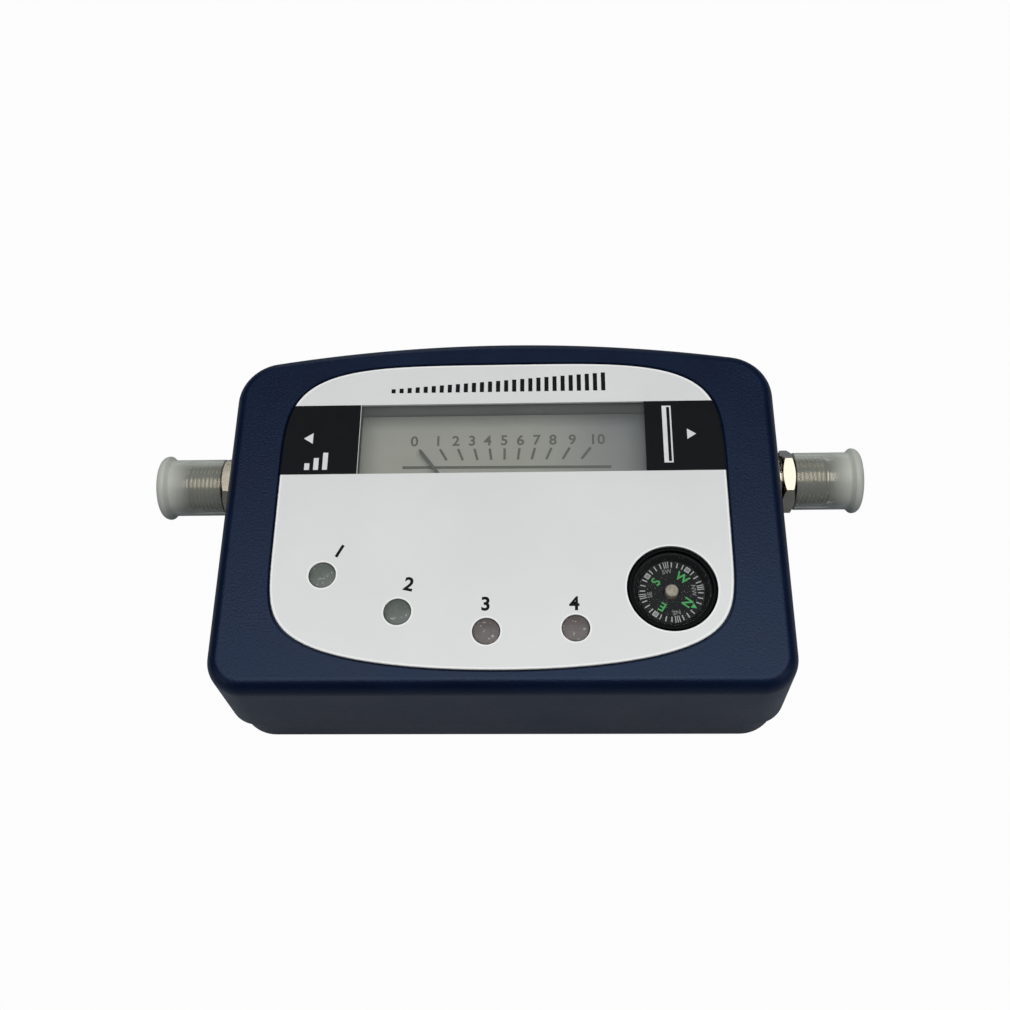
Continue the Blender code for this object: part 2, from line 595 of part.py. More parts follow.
METER_TOP = CEILING - METER_COVER_THICKNESS - 2 * FIT_GAP
WINDOW_GLASS_BASE = RECESS_FLOOR - METER_COVER_THICKNESS
WINDOW_FRAME_TOP = WINDOW_GLASS_BASE - FIT_GAP
SCALE_TOP = CASE_HEIGHT - SCALE_DEPTH
TRAY_FLOOR = SCALE_TOP - SCALE_PLATE_THICKNESS - FIT_GAP
TRAY_BASE = TRAY_FLOOR - METER_WALL
WELL_BASE = BOARD_TOP + WELL_CLEARANCE
WELL_FLOOR = WELL_BASE + METER_WALL
NEEDLE_LEVEL = SCALE_TOP + NEEDLE_HEIGHT
BRIDGE_BASE = METER_TOP - BRIDGE_THICKNESS
YOKE_BASE = WELL_FLOOR + COIL_BAR + 6 * FIT_GAP
YOKE_TOP = NEEDLE_LEVEL - YOKE_TO_NEEDLE
YOKE_HEIGHT = YOKE_TOP - YOKE_BASE
COIL_BASE = YOKE_BASE - FIT_GAP - COIL_BAR
COIL_TOP = YOKE_TOP + FIT_GAP + COIL_BAR
COIL_REACH = (CORE_DIAMETER + YOKE_BORE) / 4 + COIL_BAR / 2
HAIR_SPRING_LEVEL = (COIL_TOP + NEEDLE_LEVEL - NEEDLE_THICKNESS - HAIR_SPRING_HEIGHT) / 2


def meter_case():
    bm = bmesh.new()
    prism(bm, meter_outline(0), TRAY_BASE, METER_TOP)
    tray = place("meter_case", mesh_from("meter_case", bm), GREY_PLASTIC)
    bm = bmesh.new()
    prism(bm, window_frame_outline(0), TRAY_BASE, WINDOW_FRAME_TOP)
    combine(tray, tool("window_frame", bm), "UNION")
    well_front = PIVOT_Y - PIVOT_TO_FRONT_WALL
    well_rear = PIVOT_Y + WELL_WIDTH / 2
    middle = (well_front + well_rear) / 2
    depth = well_rear - well_front
    bm = bmesh.new()
    block(bm, (WELL_WIDTH, depth, TRAY_FLOOR - WELL_BASE), (0, middle, (TRAY_FLOOR + WELL_BASE) / 2))
    combine(tray, tool("meter_well", bm), "UNION")
    bm = bmesh.new()
    prism(bm, meter_outline(-METER_WALL), TRAY_FLOOR, WINDOW_FRAME_TOP + OVERRUN)
    combine(tray, tool("tray_hollow", bm))
    bm = bmesh.new()
    block(bm, (WELL_WIDTH - 2 * METER_WALL, depth - 2 * METER_WALL, METER_TOP - WELL_FLOOR),
          (0, middle, (METER_TOP + WELL_FLOOR) / 2))
    combine(tray, tool("well_hollow", bm))


def meter_cover():
    """One clear moulding: a high pane under the window, a low plate over the movement, a riser between."""
    low_base = METER_TOP + FIT_GAP
    low_top = low_base + METER_COVER_THICKNESS
    narrow = METER_NARROW_WIDTH / 2
    passage = narrow - METER_WALL - FIT_GAP
    front = PIVOT_Y - PIVOT_TO_FRONT_WALL
    step_y = METER_NECK_Y + METER_COVER_THICKNESS
    bm = bmesh.new()
    prism(bm, window_frame_outline(0), WINDOW_GLASS_BASE, RECESS_FLOOR)
    cover = place("meter_cover", mesh_from("meter_cover", bm), CLEAR_PLASTIC)
    bm = bmesh.new()
    block(bm, (2 * passage, METER_COVER_THICKNESS, WINDOW_GLASS_BASE + METER_COVER_THICKNESS / 2 - low_base),
          (0, (METER_NECK_Y + step_y) / 2, (low_base + WINDOW_GLASS_BASE + METER_COVER_THICKNESS / 2) / 2))
    combine(cover, tool("cover_riser", bm), "UNION")
    bm = bmesh.new()
    low_rear = METER_NECK_Y - FIT_GAP
    prism(bm, [(-narrow, front), (narrow, front), (narrow, low_rear), (passage, low_rear),
               (passage, step_y), (-passage, step_y), (-passage, low_rear), (-narrow, low_rear)],
          low_base, low_top)
    combine(cover, tool("cover_low_plate", bm), "UNION")


def scale_plate():
    wide = WINDOW_WIDTH / 2 + METER_SIDE_MARGIN - FIT_GAP
    rear = WINDOW_Y + WINDOW_HEIGHT / 2 + METER_SIDE_MARGIN - FIT_GAP
    front = WINDOW_Y - WINDOW_HEIGHT / 2 - METER_NECK_LENGTH + METER_WALL + FIT_GAP
    bm = bmesh.new()
    prism(bm, [(-wide, front), (wide, front), (wide, rear), (-wide, rear)],
          SCALE_TOP - SCALE_PLATE_THICKNESS, SCALE_TOP)
    place("scale_plate", mesh_from("scale_plate", bm), SCALE_CARD)


def movement():
    """Steel ring, magnet core and the two bearings, round the pivot of the needle."""
    bm = bmesh.new()
    turned(bm, [(YOKE_BORE / 2, 0), (YOKE_OUTER_DIAMETER / 2, 0), (YOKE_OUTER_DIAMETER / 2, YOKE_HEIGHT),
                (YOKE_BORE / 2, YOKE_HEIGHT)], ROUND_STEPS, closed=True)
    yoke = place("meter_yoke", mesh_from("meter_yoke", bm), STEEL, (0, PIVOT_Y, YOKE_BASE))
    bm = bmesh.new()
    arm_reach = (YOKE_BORE + YOKE_OUTER_DIAMETER) / 4 - CORE_DIAMETER / 2 - FIT_GAP
    arm_middle = CORE_DIAMETER / 2 + FIT_GAP + arm_reach / 2
    for side in (-1, 1):
        block(bm, (YOKE_ARM_WIDTH, arm_reach, YOKE_HEIGHT / 2),
              (0, PIVOT_Y + side * arm_middle, YOKE_BASE + YOKE_HEIGHT / 2))
    combine(yoke, tool("yoke_arms", bm), "UNION")
    bm = bmesh.new()
    foot = YOKE_BASE - WELL_FLOOR - FIT_GAP
    foot_reach = (YOKE_OUTER_DIAMETER + YOKE_BORE) / 4
    foot_width = (YOKE_OUTER_DIAMETER - YOKE_BORE) / 2 - FIT_GAP
    for side in (-1, 1):
        rod(bm, foot_width, (0, PIVOT_Y + side * foot_reach, YOKE_BASE - foot),
            (0, PIVOT_Y + side * foot_reach, YOKE_BASE + YOKE_HEIGHT / 4), SMALL_ROUND_STEPS)
    combine(yoke, tool("yoke_feet", bm), "UNION")

    bm = bmesh.new()
    turned(bm, [(0, 0), (CORE_DIAMETER / 2, 0), (CORE_DIAMETER / 2, YOKE_HEIGHT), (0, YOKE_HEIGHT)])
    place("core_magnet", mesh_from("core_magnet", bm), MAGNET, (0, PIVOT_Y, YOKE_BASE))

    bm = bmesh.new()
    half_span = (YOKE_OUTER_DIAMETER + YOKE_BORE) / 4
    block(bm, (2 * half_span + BRIDGE_WIDTH, BRIDGE_WIDTH, BRIDGE_THICKNESS),
          (0, PIVOT_Y, BRIDGE_BASE + BRIDGE_THICKNESS / 2))
    bridge = place("bearing_bridge", mesh_from("bearing_bridge", bm), BRASS)
    bm = bmesh.new()
    for side in (-1, 1):
        rod(bm, BRIDGE_POST_DIAMETER, (side * half_span, PIVOT_Y, YOKE_TOP + FIT_GAP),
            (side * half_span, PIVOT_Y, BRIDGE_BASE + BRIDGE_THICKNESS / 2), SMALL_ROUND_STEPS)
    combine(bridge, tool("bridge_posts", bm), "UNION")
    bm = bmesh.new()
    stud_x = (HAIR_SPRING_DIAMETER + HAIR_SPRING_THICKNESS + HAIR_SPRING_STUD_DIAMETER) / 2 + FIT_GAP
    rod(bm, HAIR_SPRING_STUD_DIAMETER, (stud_x, PIVOT_Y, HAIR_SPRING_LEVEL),
        (stud_x, PIVOT_Y, BRIDGE_BASE + BRIDGE_THICKNESS / 2), SMALL_ROUND_STEPS)
    combine(bridge, tool("spring_stud", bm), "UNION")

    bm = bmesh.new()
    rod(bm, BEARING_DIAMETER, (0, 0, FIT_GAP), (0, 0, 2 * FIT_GAP), SMALL_ROUND_STEPS)
    place("lower_bearing", mesh_from("lower_bearing", bm), BRASS, (0, PIVOT_Y, WELL_FLOOR))


def moving_coil():
    """A wound frame round the core, with a pivot at each end. At rest it is turned back with the needle."""
    bm = bmesh.new()
    height = COIL_TOP - COIL_BASE
    block(bm, (2 * COIL_REACH, COIL_WIDTH, height), (0, 0, height / 2))
    coil = place("moving_coil", mesh_from("moving_coil", bm), COPPER, (0, PIVOT_Y, COIL_BASE),
                 (0, 0, NEEDLE_SWEEP / 2))
    bm = bmesh.new()
    block(bm, (2 * (COIL_REACH - COIL_BAR), 2 * COIL_WIDTH, height - 2 * COIL_BAR), (0, 0, height / 2))
    opening = tool("coil_opening", bm)
    opening.location = coil.location
    opening.rotation_euler = coil.rotation_euler
    combine(coil, opening)
    bm = bmesh.new()
    rod(bm, PIVOT_DIAMETER, (0, PIVOT_Y, COIL_TOP - COIL_BAR / 2), (0, PIVOT_Y, BRIDGE_BASE - FIT_GAP),
        SMALL_ROUND_STEPS)
    rod(bm, PIVOT_DIAMETER, (0, PIVOT_Y, WELL_FLOOR + 3 * FIT_GAP), (0, PIVOT_Y, COIL_BASE + COIL_BAR / 2),
        SMALL_ROUND_STEPS)
    combine(coil, tool("coil_pivots", bm), "UNION")


def needle():
    """The pointer at its first mark. It is drawn along +Y and turned back by half the sweep."""
    hub = NEEDLE_HUB_DIAMETER / 2
    half = NEEDLE_WIDTH / 2
    bm = bmesh.new()
    prism(bm, [(-half, 0), (half, 0), (half, NEEDLE_LENGTH - NEEDLE_WIDTH), (half / 2, NEEDLE_LENGTH),
               (-half / 2, NEEDLE_LENGTH), (-half, NEEDLE_LENGTH - NEEDLE_WIDTH)], 0, NEEDLE_THICKNESS)
    pointer = place("needle", mesh_from("needle", bm), BLACK_PLASTIC, (0, PIVOT_Y, NEEDLE_LEVEL),
                    (0, 0, NEEDLE_SWEEP / 2))
    bm = bmesh.new()
    turned(bm, [(0, -NEEDLE_THICKNESS), (hub, -NEEDLE_THICKNESS), (hub, 2 * NEEDLE_THICKNESS),
                (0, 2 * NEEDLE_THICKNESS)], SMALL_ROUND_STEPS)
    hub_tool = tool("needle_hub", bm)
    hub_tool.location = pointer.location
    combine(pointer, hub_tool, "UNION")
    bm = bmesh.new()
    block(bm, (NEEDLE_TAIL_WIDTH, NEEDLE_TAIL, 2 * NEEDLE_THICKNESS),
          (0, -NEEDLE_TAIL / 2, NEEDLE_THICKNESS / 2))
    tail_tool = tool("needle_tail", bm)
    tail_tool.location = pointer.location
    tail_tool.rotation_euler = pointer.rotation_euler
    combine(pointer, tail_tool, "UNION")
    bm = bmesh.new()
    rod(bm, PIVOT_DIAMETER + 2 * FIT_GAP, (0, 0, -2 * NEEDLE_THICKNESS), (0, 0, 3 * NEEDLE_THICKNESS),
        SMALL_ROUND_STEPS)
    bore_tool = tool("needle_bore", bm)
    bore_tool.location = pointer.location
    combine(pointer, bore_tool)


def hair_spring():
    """A flat spiral from the pivot of the coil out to the stud that hangs from the bridge."""
    inner = PIVOT_DIAMETER / 2 + FIT_GAP + HAIR_SPRING_THICKNESS
    outer = HAIR_SPRING_DIAMETER / 2
    steps = HAIR_SPRING_TURNS * SMALL_ROUND_STEPS
    sides = []
    for offset in (HAIR_SPRING_THICKNESS / 2, -HAIR_SPRING_THICKNESS / 2):
        side = []
        for i in range(steps + 1):
            angle = 2 * pi * HAIR_SPRING_TURNS * i / steps
            radius = inner + (outer - inner) * i / steps + offset
            side.append((radius * cos(angle), radius * sin(angle)))
        sides.append(side)
    bm = bmesh.new()
    rings = []
    for outside, inside in zip(*sides):
        rings.append([(*outside, 0), (*inside, 0), (*inside, HAIR_SPRING_HEIGHT),
                      (*outside, HAIR_SPRING_HEIGHT)])
    loft(bm, rings)
    place("hair_spring", mesh_from("hair_spring", bm), BRASS, (0, PIVOT_Y, HAIR_SPRING_LEVEL))


# Compass: a capsule that seats under the face from inside

def compass():
    outer = COMPASS_DIAMETER / 2 - FIT_GAP
    inner = outer - COMPASS_BOWL_WALL
    flange = COMPASS_FLANGE_DIAMETER / 2
    flange_top = COMPASS_BOWL_HEIGHT - WALL - FIT_GAP
    lens_seat = COMPASS_BOWL_HEIGHT - COMPASS_LENS_THICKNESS - FIT_GAP
    lens_edge = inner + COMPASS_BOWL_WALL / 2
    base = CASE_HEIGHT - COMPASS_BOWL_HEIGHT
    card_level = COMPASS_BOWL_HEIGHT - COMPASS_CARD_DEPTH
    card_radius = inner - 2 * FIT_GAP
    pin, hub = COMPASS_PIN_DIAMETER / 2, COMPASS_HUB_DIAMETER / 2
    hub_top = lens_seat - FIT_GAP
    spot = (COMPASS_X, COMPASS_Y, base)
    bm = bmesh.new()
    turned(bm, [(0, 0), (outer, 0), (outer, flange_top - COMPASS_FLANGE_THICKNESS),
                (flange, flange_top - COMPASS_FLANGE_THICKNESS), (flange, flange_top), (outer, flange_top),
                (outer, COMPASS_BOWL_HEIGHT), (lens_edge, COMPASS_BOWL_HEIGHT), (lens_edge, lens_seat),
                (inner, lens_seat), (inner, COMPASS_BOWL_WALL), (0, COMPASS_BOWL_WALL)], WIDE_ROUND_STEPS)
    place("compass_bowl", mesh_from("compass_bowl", bm), BLACK_PLASTIC, spot)

    bm = bmesh.new()
    lens_base = lens_seat + FIT_GAP / 2
    turned(bm, [(0, lens_base), (lens_edge - FIT_GAP, lens_base),
                (lens_edge - FIT_GAP, COMPASS_BOWL_HEIGHT - FIT_GAP), (0, COMPASS_BOWL_HEIGHT)],
           WIDE_ROUND_STEPS)
    place("compass_lens", mesh_from("compass_lens", bm), CLEAR_PLASTIC, spot)

    bm = bmesh.new()
    pin_top = card_level
    pin_base = COMPASS_BOWL_WALL + FIT_GAP
    turned(bm, [(0, pin_base), (3 * pin, pin_base), (3 * pin, pin_base + pin), (pin, pin_base + 2 * pin),
                (pin, pin_top - pin), (0, pin_top)], SMALL_ROUND_STEPS)
    place("compass_pin", mesh_from("compass_pin", bm), BRASS, spot)

    heading = (0, 0, COMPASS_NORTH)
    bm = bmesh.new()
    card_base = card_level - COMPASS_CARD_THICKNESS
    turned(bm, [(hub + FIT_GAP, card_base), (card_radius, card_base), (card_radius, card_level),
                (hub + FIT_GAP, card_level)], WIDE_ROUND_STEPS, closed=True)
    place("compass_card", mesh_from("compass_card", bm), BLACK_PLASTIC, spot, heading)

    bm = bmesh.new()
    cup = pin + FIT_GAP
    skirt = card_level - 3 * COMPASS_CARD_THICKNESS
    bevel = COMPASS_CARD_THICKNESS
    turned(bm, [(0, pin_top + FIT_GAP), (cup, pin_top + FIT_GAP - cup), (cup, skirt), (hub, skirt),
                (hub, hub_top - bevel), (hub - bevel, hub_top), (0, hub_top)])
    place("compass_hub", mesh_from("compass_hub", bm), BRASS, spot, heading)

    bm = bmesh.new()
    magnet_top = card_level - COMPASS_CARD_THICKNESS - FIT_GAP
    eye_diameter = COMPASS_HUB_DIAMETER + 2 * FIT_GAP
    block(bm, (2 * card_radius - 4 * FIT_GAP, eye_diameter + 2 * COMPASS_MAGNET_BAND,
               COMPASS_MAGNET_THICKNESS), (0, 0, magnet_top - COMPASS_MAGNET_THICKNESS / 2))
    magnet = place("compass_magnet", mesh_from("compass_magnet", bm), MAGNET, spot, heading)
    bm = bmesh.new()
    rod(bm, eye_diameter, (0, 0, COMPASS_BOWL_WALL), (0, 0, COMPASS_BOWL_HEIGHT))
    eye = tool("magnet_eye", bm)
    eye.location = spot
    combine(magnet, eye)


# Lamps

def lamps():
    radius = LAMP_HOLE_DIAMETER / 2 - FIT_GAP
    crown = CASE_HEIGHT - LAMP_DEPTH
    base = crown - LAMP_LENGTH
    profile = [(0, 0), (LAMP_FLANGE_DIAMETER / 2, 0), (LAMP_FLANGE_DIAMETER / 2, LAMP_FLANGE_THICKNESS),
               (radius, LAMP_FLANGE_THICKNESS)]
    profile += arc((0, LAMP_LENGTH - radius), radius, 0, pi / 2, EDGE_STEPS)[:-1]
    profile.append((0, LAMP_LENGTH))
    bm = bmesh.new()
    turned(bm, profile, SMALL_ROUND_STEPS + 2)
    pattern = place("lamp_1", mesh_from("lamp", bm), LAMP_RESIN, (*LAMP_PLACES[0], base))
    bm = bmesh.new()
    for side in (-1, 1):
        rod(bm, LAMP_LEG_DIAMETER, (side * LAMP_LEG_SPACING / 2, 0, BOARD_TOP + FIT_GAP - base),
            (side * LAMP_LEG_SPACING / 2, 0, LAMP_FLANGE_THICKNESS), SMALL_ROUND_STEPS // 2)
    legs = tool("lamp_legs", bm)
    legs.location = pattern.location
    combine(pattern, legs, "UNION")
    mesh = settle(pattern)
    for number, spot in enumerate(LAMP_PLACES[1:], 2):
        place(f"lamp_{number}", mesh, LAMP_RESIN, (*spot, base))


# Circuit board and its shield

def circuit_board():
    inset = WALL + WALL_DRAFT + BOARD_EDGE_GAP
    bm = bmesh.new()
    prism(bm, case_outline(inset), BOARD_LEVEL, BOARD_TOP)
    board = place("circuit_board", mesh_from("circuit_board", bm), BOARD_LAMINATE)
    bm = bmesh.new()
    for x, y in BOSS_PLACES:
        rod(bm, STANDOFF_DIAMETER + 2 * BOARD_EDGE_GAP, (x, y, BOARD_LEVEL - OVERRUN),
            (x, y, BOARD_TOP + OVERRUN), SMALL_ROUND_STEPS)
    for x, y in POST_PLACES:
        rod(bm, BOARD_SCREW_SHANK + 2 * FIT_GAP, (x, y, BOARD_LEVEL - OVERRUN),
            (x, y, BOARD_TOP + OVERRUN), SMALL_ROUND_STEPS)
    combine(board, tool("board_holes", bm))

    half_length, half_width = SHIELD_LENGTH / 2, SHIELD_WIDTH / 2
    top = BOARD_LEVEL - FIT_GAP
    bottom = WALL + COVER_RIB_HEIGHT + SHIELD_CLEARANCE

    def rectangle(inset):
        x, y = half_length - inset, half_width - inset
        return [(-x, SOCKET_Y - y), (x, SOCKET_Y - y), (x, SOCKET_Y + y), (-x, SOCKET_Y + y)]

    bm = bmesh.new()
    loft(bm, [ring_at(rectangle(0), bottom), ring_at(rectangle(0), top),
              ring_at(rectangle(SHIELD_WALL), top), ring_at(rectangle(SHIELD_WALL), bottom + SHIELD_WALL)])
    place("shield_can", mesh_from("shield_can", bm), TINPLATE)


# Level control

def level_control():
    axle = WHEEL_BORE / 2 - FIT_GAP
    screw = WHEEL_SCREW_SHANK / 2
    axle_top = WHEEL_TOP + FIT_GAP - POT_BASE
    hole_base = axle_top - WHEEL_SCREW_LENGTH - FIT_GAP
    bm = bmesh.new()
    turned(bm, [(0, 0), (POT_DIAMETER / 2, 0), (POT_DIAMETER / 2, POT_HEIGHT), (axle, POT_HEIGHT),
                (axle, axle_top), (screw + FIT_GAP, axle_top), (screw + FIT_GAP, hole_base), (0, hole_base)])
    place("level_pot", mesh_from("level_pot", bm), BLACK_PLASTIC, (0, WHEEL_Y, POT_BASE))

    outline = []
    for i in range(2 * WHEEL_RIDGES):
        radius = WHEEL_DIAMETER / 2 - (0 if i % 2 == 0 else WHEEL_RIDGE_DEPTH)
        angle = pi / 2 + pi * i / WHEEL_RIDGES
        outline.append((radius * cos(angle), radius * sin(angle)))
    bm = bmesh.new()
    prism(bm, outline, 0, WHEEL_THICKNESS)
    wheel = place("level_wheel", mesh_from("level_wheel", bm), BLACK_PLASTIC, (0, WHEEL_Y, WHEEL_BASE))
    bm = bmesh.new()
    rod(bm, WHEEL_BORE, (0, WHEEL_Y, WHEEL_BASE - OVERRUN), (0, WHEEL_Y, WHEEL_TOP + OVERRUN))
    combine(wheel, tool("wheel_bore", bm))

    bm = bmesh.new()
    head = WHEEL_SCREW_HEAD / 2
    turned(bm, [(0, -WHEEL_SCREW_LENGTH), (screw, -WHEEL_SCREW_LENGTH), (screw, 0), (head, 0),
                (head, WHEEL_SCREW_HEAD_HEIGHT), (0, WHEEL_SCREW_HEAD_HEIGHT)], SMALL_ROUND_STEPS)
    place("wheel_screw", mesh_from("wheel_screw", bm), STEEL, (0, WHEEL_Y, WHEEL_TOP + 2 * FIT_GAP))


# Cable sockets, drawn along +X from the seat on the wall and turned round for the left side

FLANGE_FACE = -(WALL + FIT_GAP)
FLANGE_BACK = FLANGE_FACE - FLANGE_THICKNESS
WASHER_X = FIT_GAP
LOCK_WASHER_X = WASHER_X + WASHER_THICKNESS + FIT_GAP
NUT_X = LOCK_WASHER_X + LOCK_WASHER_THICKNESS + FIT_GAP
CAP_X = NUT_X + NUT_THICKNESS + FIT_GAP


def socket_body_mesh():
    thread, nose = THREAD_DIAMETER / 2, NOSE_DIAMETER / 2
    root = FLANGE_BACK + FLANGE_THICKNESS / 2
    nose_x = BARREL_LENGTH - NOSE_LENGTH
    bm = bmesh.new()
    turned(bm, [(0, root), (thread, root), (thread, nose_x - THREAD_CHAMFER),
                (thread - THREAD_CHAMFER, nose_x), (nose, nose_x), (nose, BARREL_LENGTH - NOSE_CHAMFER),
                (nose - NOSE_CHAMFER, BARREL_LENGTH), (0, BARREL_LENGTH)])
    lay_along_x(bm)
    body = place("pattern_socket", mesh_from("socket_body", bm), NICKEL)
    foot = BOARD_TOP + FIT_GAP - SOCKET_HEIGHT
    bm = bmesh.new()
    block(bm, (FLANGE_THICKNESS, FLANGE_WIDTH, FLANGE_WIDTH / 2 - foot),
          ((FLANGE_FACE + FLANGE_BACK) / 2, 0, (FLANGE_WIDTH / 2 + foot) / 2))
    combine(body, tool("socket_flange", bm), "UNION")
    bm = bmesh.new()
    rod(bm, BARREL_BORE, (FLANGE_BACK - OVERRUN, 0, 0), (BARREL_LENGTH + OVERRUN, 0, 0))
    combine(body, tool("socket_bore", bm))
    mesh = settle(body)
    bpy.data.objects.remove(body)
    return mesh


def insulator_mesh():
    outer, hole = BARREL_BORE / 2 - FIT_GAP, CONTACT_DIAMETER / 2 + FIT_GAP
    bm = bmesh.new()
    front = BARREL_LENGTH - INSULATOR_SETBACK
    turned(bm, [(hole, FLANGE_BACK), (outer, FLANGE_BACK), (outer, front), (hole, front)], closed=True)
    lay_along_x(bm)
    return mesh_from("socket_insulator", bm)


def contact_mesh():
    """A round contact that bends down behind the flange to stand on the board."""
    tail_x = FLANGE_BACK - CONTACT_TAIL
    foot = BOARD_TOP + FIT_GAP - SOCKET_HEIGHT
    bend_centre = (tail_x + CONTACT_BEND_RADIUS, -CONTACT_BEND_RADIUS)
    bend = arc(bend_centre, CONTACT_BEND_RADIUS, pi / 2, pi, EDGE_STEPS)
    route = [(BARREL_LENGTH - CONTACT_SETBACK, 0)] + bend + [(tail_x, foot)]
    half = CONTACT_DIAMETER / 2
    sides = SMALL_ROUND_STEPS // 2 + 1
    rings = []
    for i, (x, z) in enumerate(route):
        before, after = route[max(i - 1, 0)], route[min(i + 1, len(route) - 1)]
        along = Vector((after[0] - before[0], 0, after[1] - before[1])).normalized()
        across = Vector((0, 1, 0))
        third = along.cross(across)
        middle = Vector((x, 0, z))
        turns = [2 * pi * k / sides for k in range(sides)]
        rings.append([middle + half * (across * cos(turn) + third * sin(turn)) for turn in turns])
    bm = bmesh.new()
    loft(bm, rings)
    return mesh_from("socket_contact", bm)


def ring_mesh(name, outer_diameter, start, thickness):
    bore = THREAD_DIAMETER / 2 + FIT_GAP
    bm = bmesh.new()
    turned(bm, [(bore, start), (outer_diameter / 2, start), (outer_diameter / 2, start + thickness),
                (bore, start + thickness)], ROUND_STEPS, closed=True)
    lay_along_x(bm)
    return mesh_from(name, bm)


def nut_mesh():
    """A hexagon whose corners are rounded off by a cone on both faces."""
    bore = THREAD_DIAMETER + 2 * FIT_GAP
    flats = NUT_ACROSS_FLATS / 2
    corner = flats / cos(pi / 6)
    end = NUT_X + NUT_THICKNESS
    bm = bmesh.new()
    hexagon = [(corner * cos(pi / 3 * i), corner * sin(pi / 3 * i)) for i in range(6)]
    prism(bm, hexagon, NUT_X, end)
    lay_along_x(bm)
    nut = place("pattern_nut", mesh_from("socket_nut", bm), NICKEL)
    bm = bmesh.new()
    rod(bm, bore, (NUT_X - OVERRUN, 0, 0), (end + OVERRUN, 0, 0))
    combine(nut, tool("nut_bore", bm))
    slope = tan(NUT_CHAMFER_ANGLE)
    outside = corner + OVERRUN
    for name, face, outwards in (("outer_chamfer", end, 1), ("inner_chamfer", NUT_X, -1)):
        bm = bmesh.new()
        turned(bm, [(flats - OVERRUN, face + outwards * OVERRUN * slope),
                    (outside, face + outwards * OVERRUN * slope),
                    (outside, face - outwards * (outside - flats) * slope)], WIDE_ROUND_STEPS, closed=True)
        lay_along_x(bm)
        combine(nut, tool(name, bm))
    mesh = settle(nut)
    bpy.data.objects.remove(nut)
    return mesh


def cap_mesh():
    """A soft dust cap: a thin sleeve over the thread and a thick round bead at its closed end."""
    bore = THREAD_DIAMETER / 2 + FIT_GAP
    sleeve = bore + CAP_WALL
    bead = CAP_BEAD_DIAMETER / 2
    bead_x = CAP_LENGTH - CAP_BEAD_LENGTH
    lip = CAP_WALL / 3
    end_wall = CAP_LENGTH - CAP_END_WALL
    round_at = bead - CAP_BEAD_RADIUS
    profile = [(0, end_wall), (bore, end_wall), (bore, 0), (sleeve - lip, 0), (sleeve, lip)]
    profile.append((sleeve, bead_x))
    profile += arc((round_at, bead_x + CAP_BEAD_RADIUS), CAP_BEAD_RADIUS, -pi / 4, 0, EDGE_STEPS // 2)
    profile += arc((round_at, CAP_LENGTH - CAP_BEAD_RADIUS), CAP_BEAD_RADIUS, 0, pi / 2, EDGE_STEPS)
    profile.append((0, CAP_LENGTH))
    bm = bmesh.new()
    turned(bm, profile, ROUND_STEPS + EDGE_STEPS)
    lay_along_x(bm)
    return mesh_from("dust_cap", bm)


def sockets():
    body = socket_body_mesh()
    insulator = insulator_mesh()
    contact = contact_mesh()
    washer = ring_mesh("socket_washer", WASHER_DIAMETER, WASHER_X, WASHER_THICKNESS)
    lock_washer = ring_mesh("socket_lock_washer", LOCK_WASHER_DIAMETER, LOCK_WASHER_X, LOCK_WASHER_THICKNESS)
    nut = nut_mesh()
    cap = cap_mesh()
    place("washer_right", washer, NICKEL, (SEAT_X, SOCKET_Y, SOCKET_HEIGHT))
    for side, direction, turn, nearer, nut_turn in (("left", -1, pi, LEFT_NEARER, LEFT_NUT_TURN),
                                                    ("right", 1, 0, 0, RIGHT_NUT_TURN)):
        seat = (direction * SEAT_X, SOCKET_Y, SOCKET_HEIGHT)
        nut_seat = (direction * (SEAT_X - nearer), SOCKET_Y, SOCKET_HEIGHT)
        cap_seat = (direction * (SEAT_X - nearer + CAP_X), SOCKET_Y, SOCKET_HEIGHT)
        place(f"socket_{side}", body, NICKEL, seat, (0, 0, turn))
        place(f"insulator_{side}", insulator, WHITE_PLASTIC, seat, (0, 0, turn))
        place(f"contact_{side}", contact, BRASS, seat, (0, 0, turn))
        place(f"lock_washer_{side}", lock_washer, NICKEL, nut_seat, (0, 0, turn))
        place(f"nut_{side}", nut, NICKEL, nut_seat, (nut_turn, 0, turn))
        place(f"cap_{side}", cap, MILKY_PLASTIC, cap_seat, (0, 0, turn))


front_shell()
rear_cover()
screws()
face_panel()
meter_case()
meter_cover()
scale_plate()
movement()
moving_coil()
needle()
hair_spring()
compass()
lamps()
circuit_board()
level_control()
sockets()
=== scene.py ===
from functools import partial
from math import atan2, cos, pi, radians, sin, sqrt, tan

import bmesh
import bpy
from mathutils import Matrix, Vector


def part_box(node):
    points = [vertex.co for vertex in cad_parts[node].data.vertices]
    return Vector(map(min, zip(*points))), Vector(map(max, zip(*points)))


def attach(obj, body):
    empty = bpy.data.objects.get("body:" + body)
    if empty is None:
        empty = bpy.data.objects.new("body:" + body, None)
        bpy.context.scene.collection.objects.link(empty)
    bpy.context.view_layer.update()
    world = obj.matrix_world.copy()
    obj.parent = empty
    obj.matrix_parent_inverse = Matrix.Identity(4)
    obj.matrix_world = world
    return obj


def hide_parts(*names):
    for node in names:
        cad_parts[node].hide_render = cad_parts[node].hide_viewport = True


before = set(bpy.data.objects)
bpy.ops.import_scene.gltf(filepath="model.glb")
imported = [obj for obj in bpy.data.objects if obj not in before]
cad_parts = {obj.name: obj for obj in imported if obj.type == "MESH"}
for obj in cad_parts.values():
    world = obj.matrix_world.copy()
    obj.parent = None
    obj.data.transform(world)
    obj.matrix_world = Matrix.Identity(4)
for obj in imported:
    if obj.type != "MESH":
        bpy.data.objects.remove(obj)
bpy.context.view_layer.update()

mm = 0.001
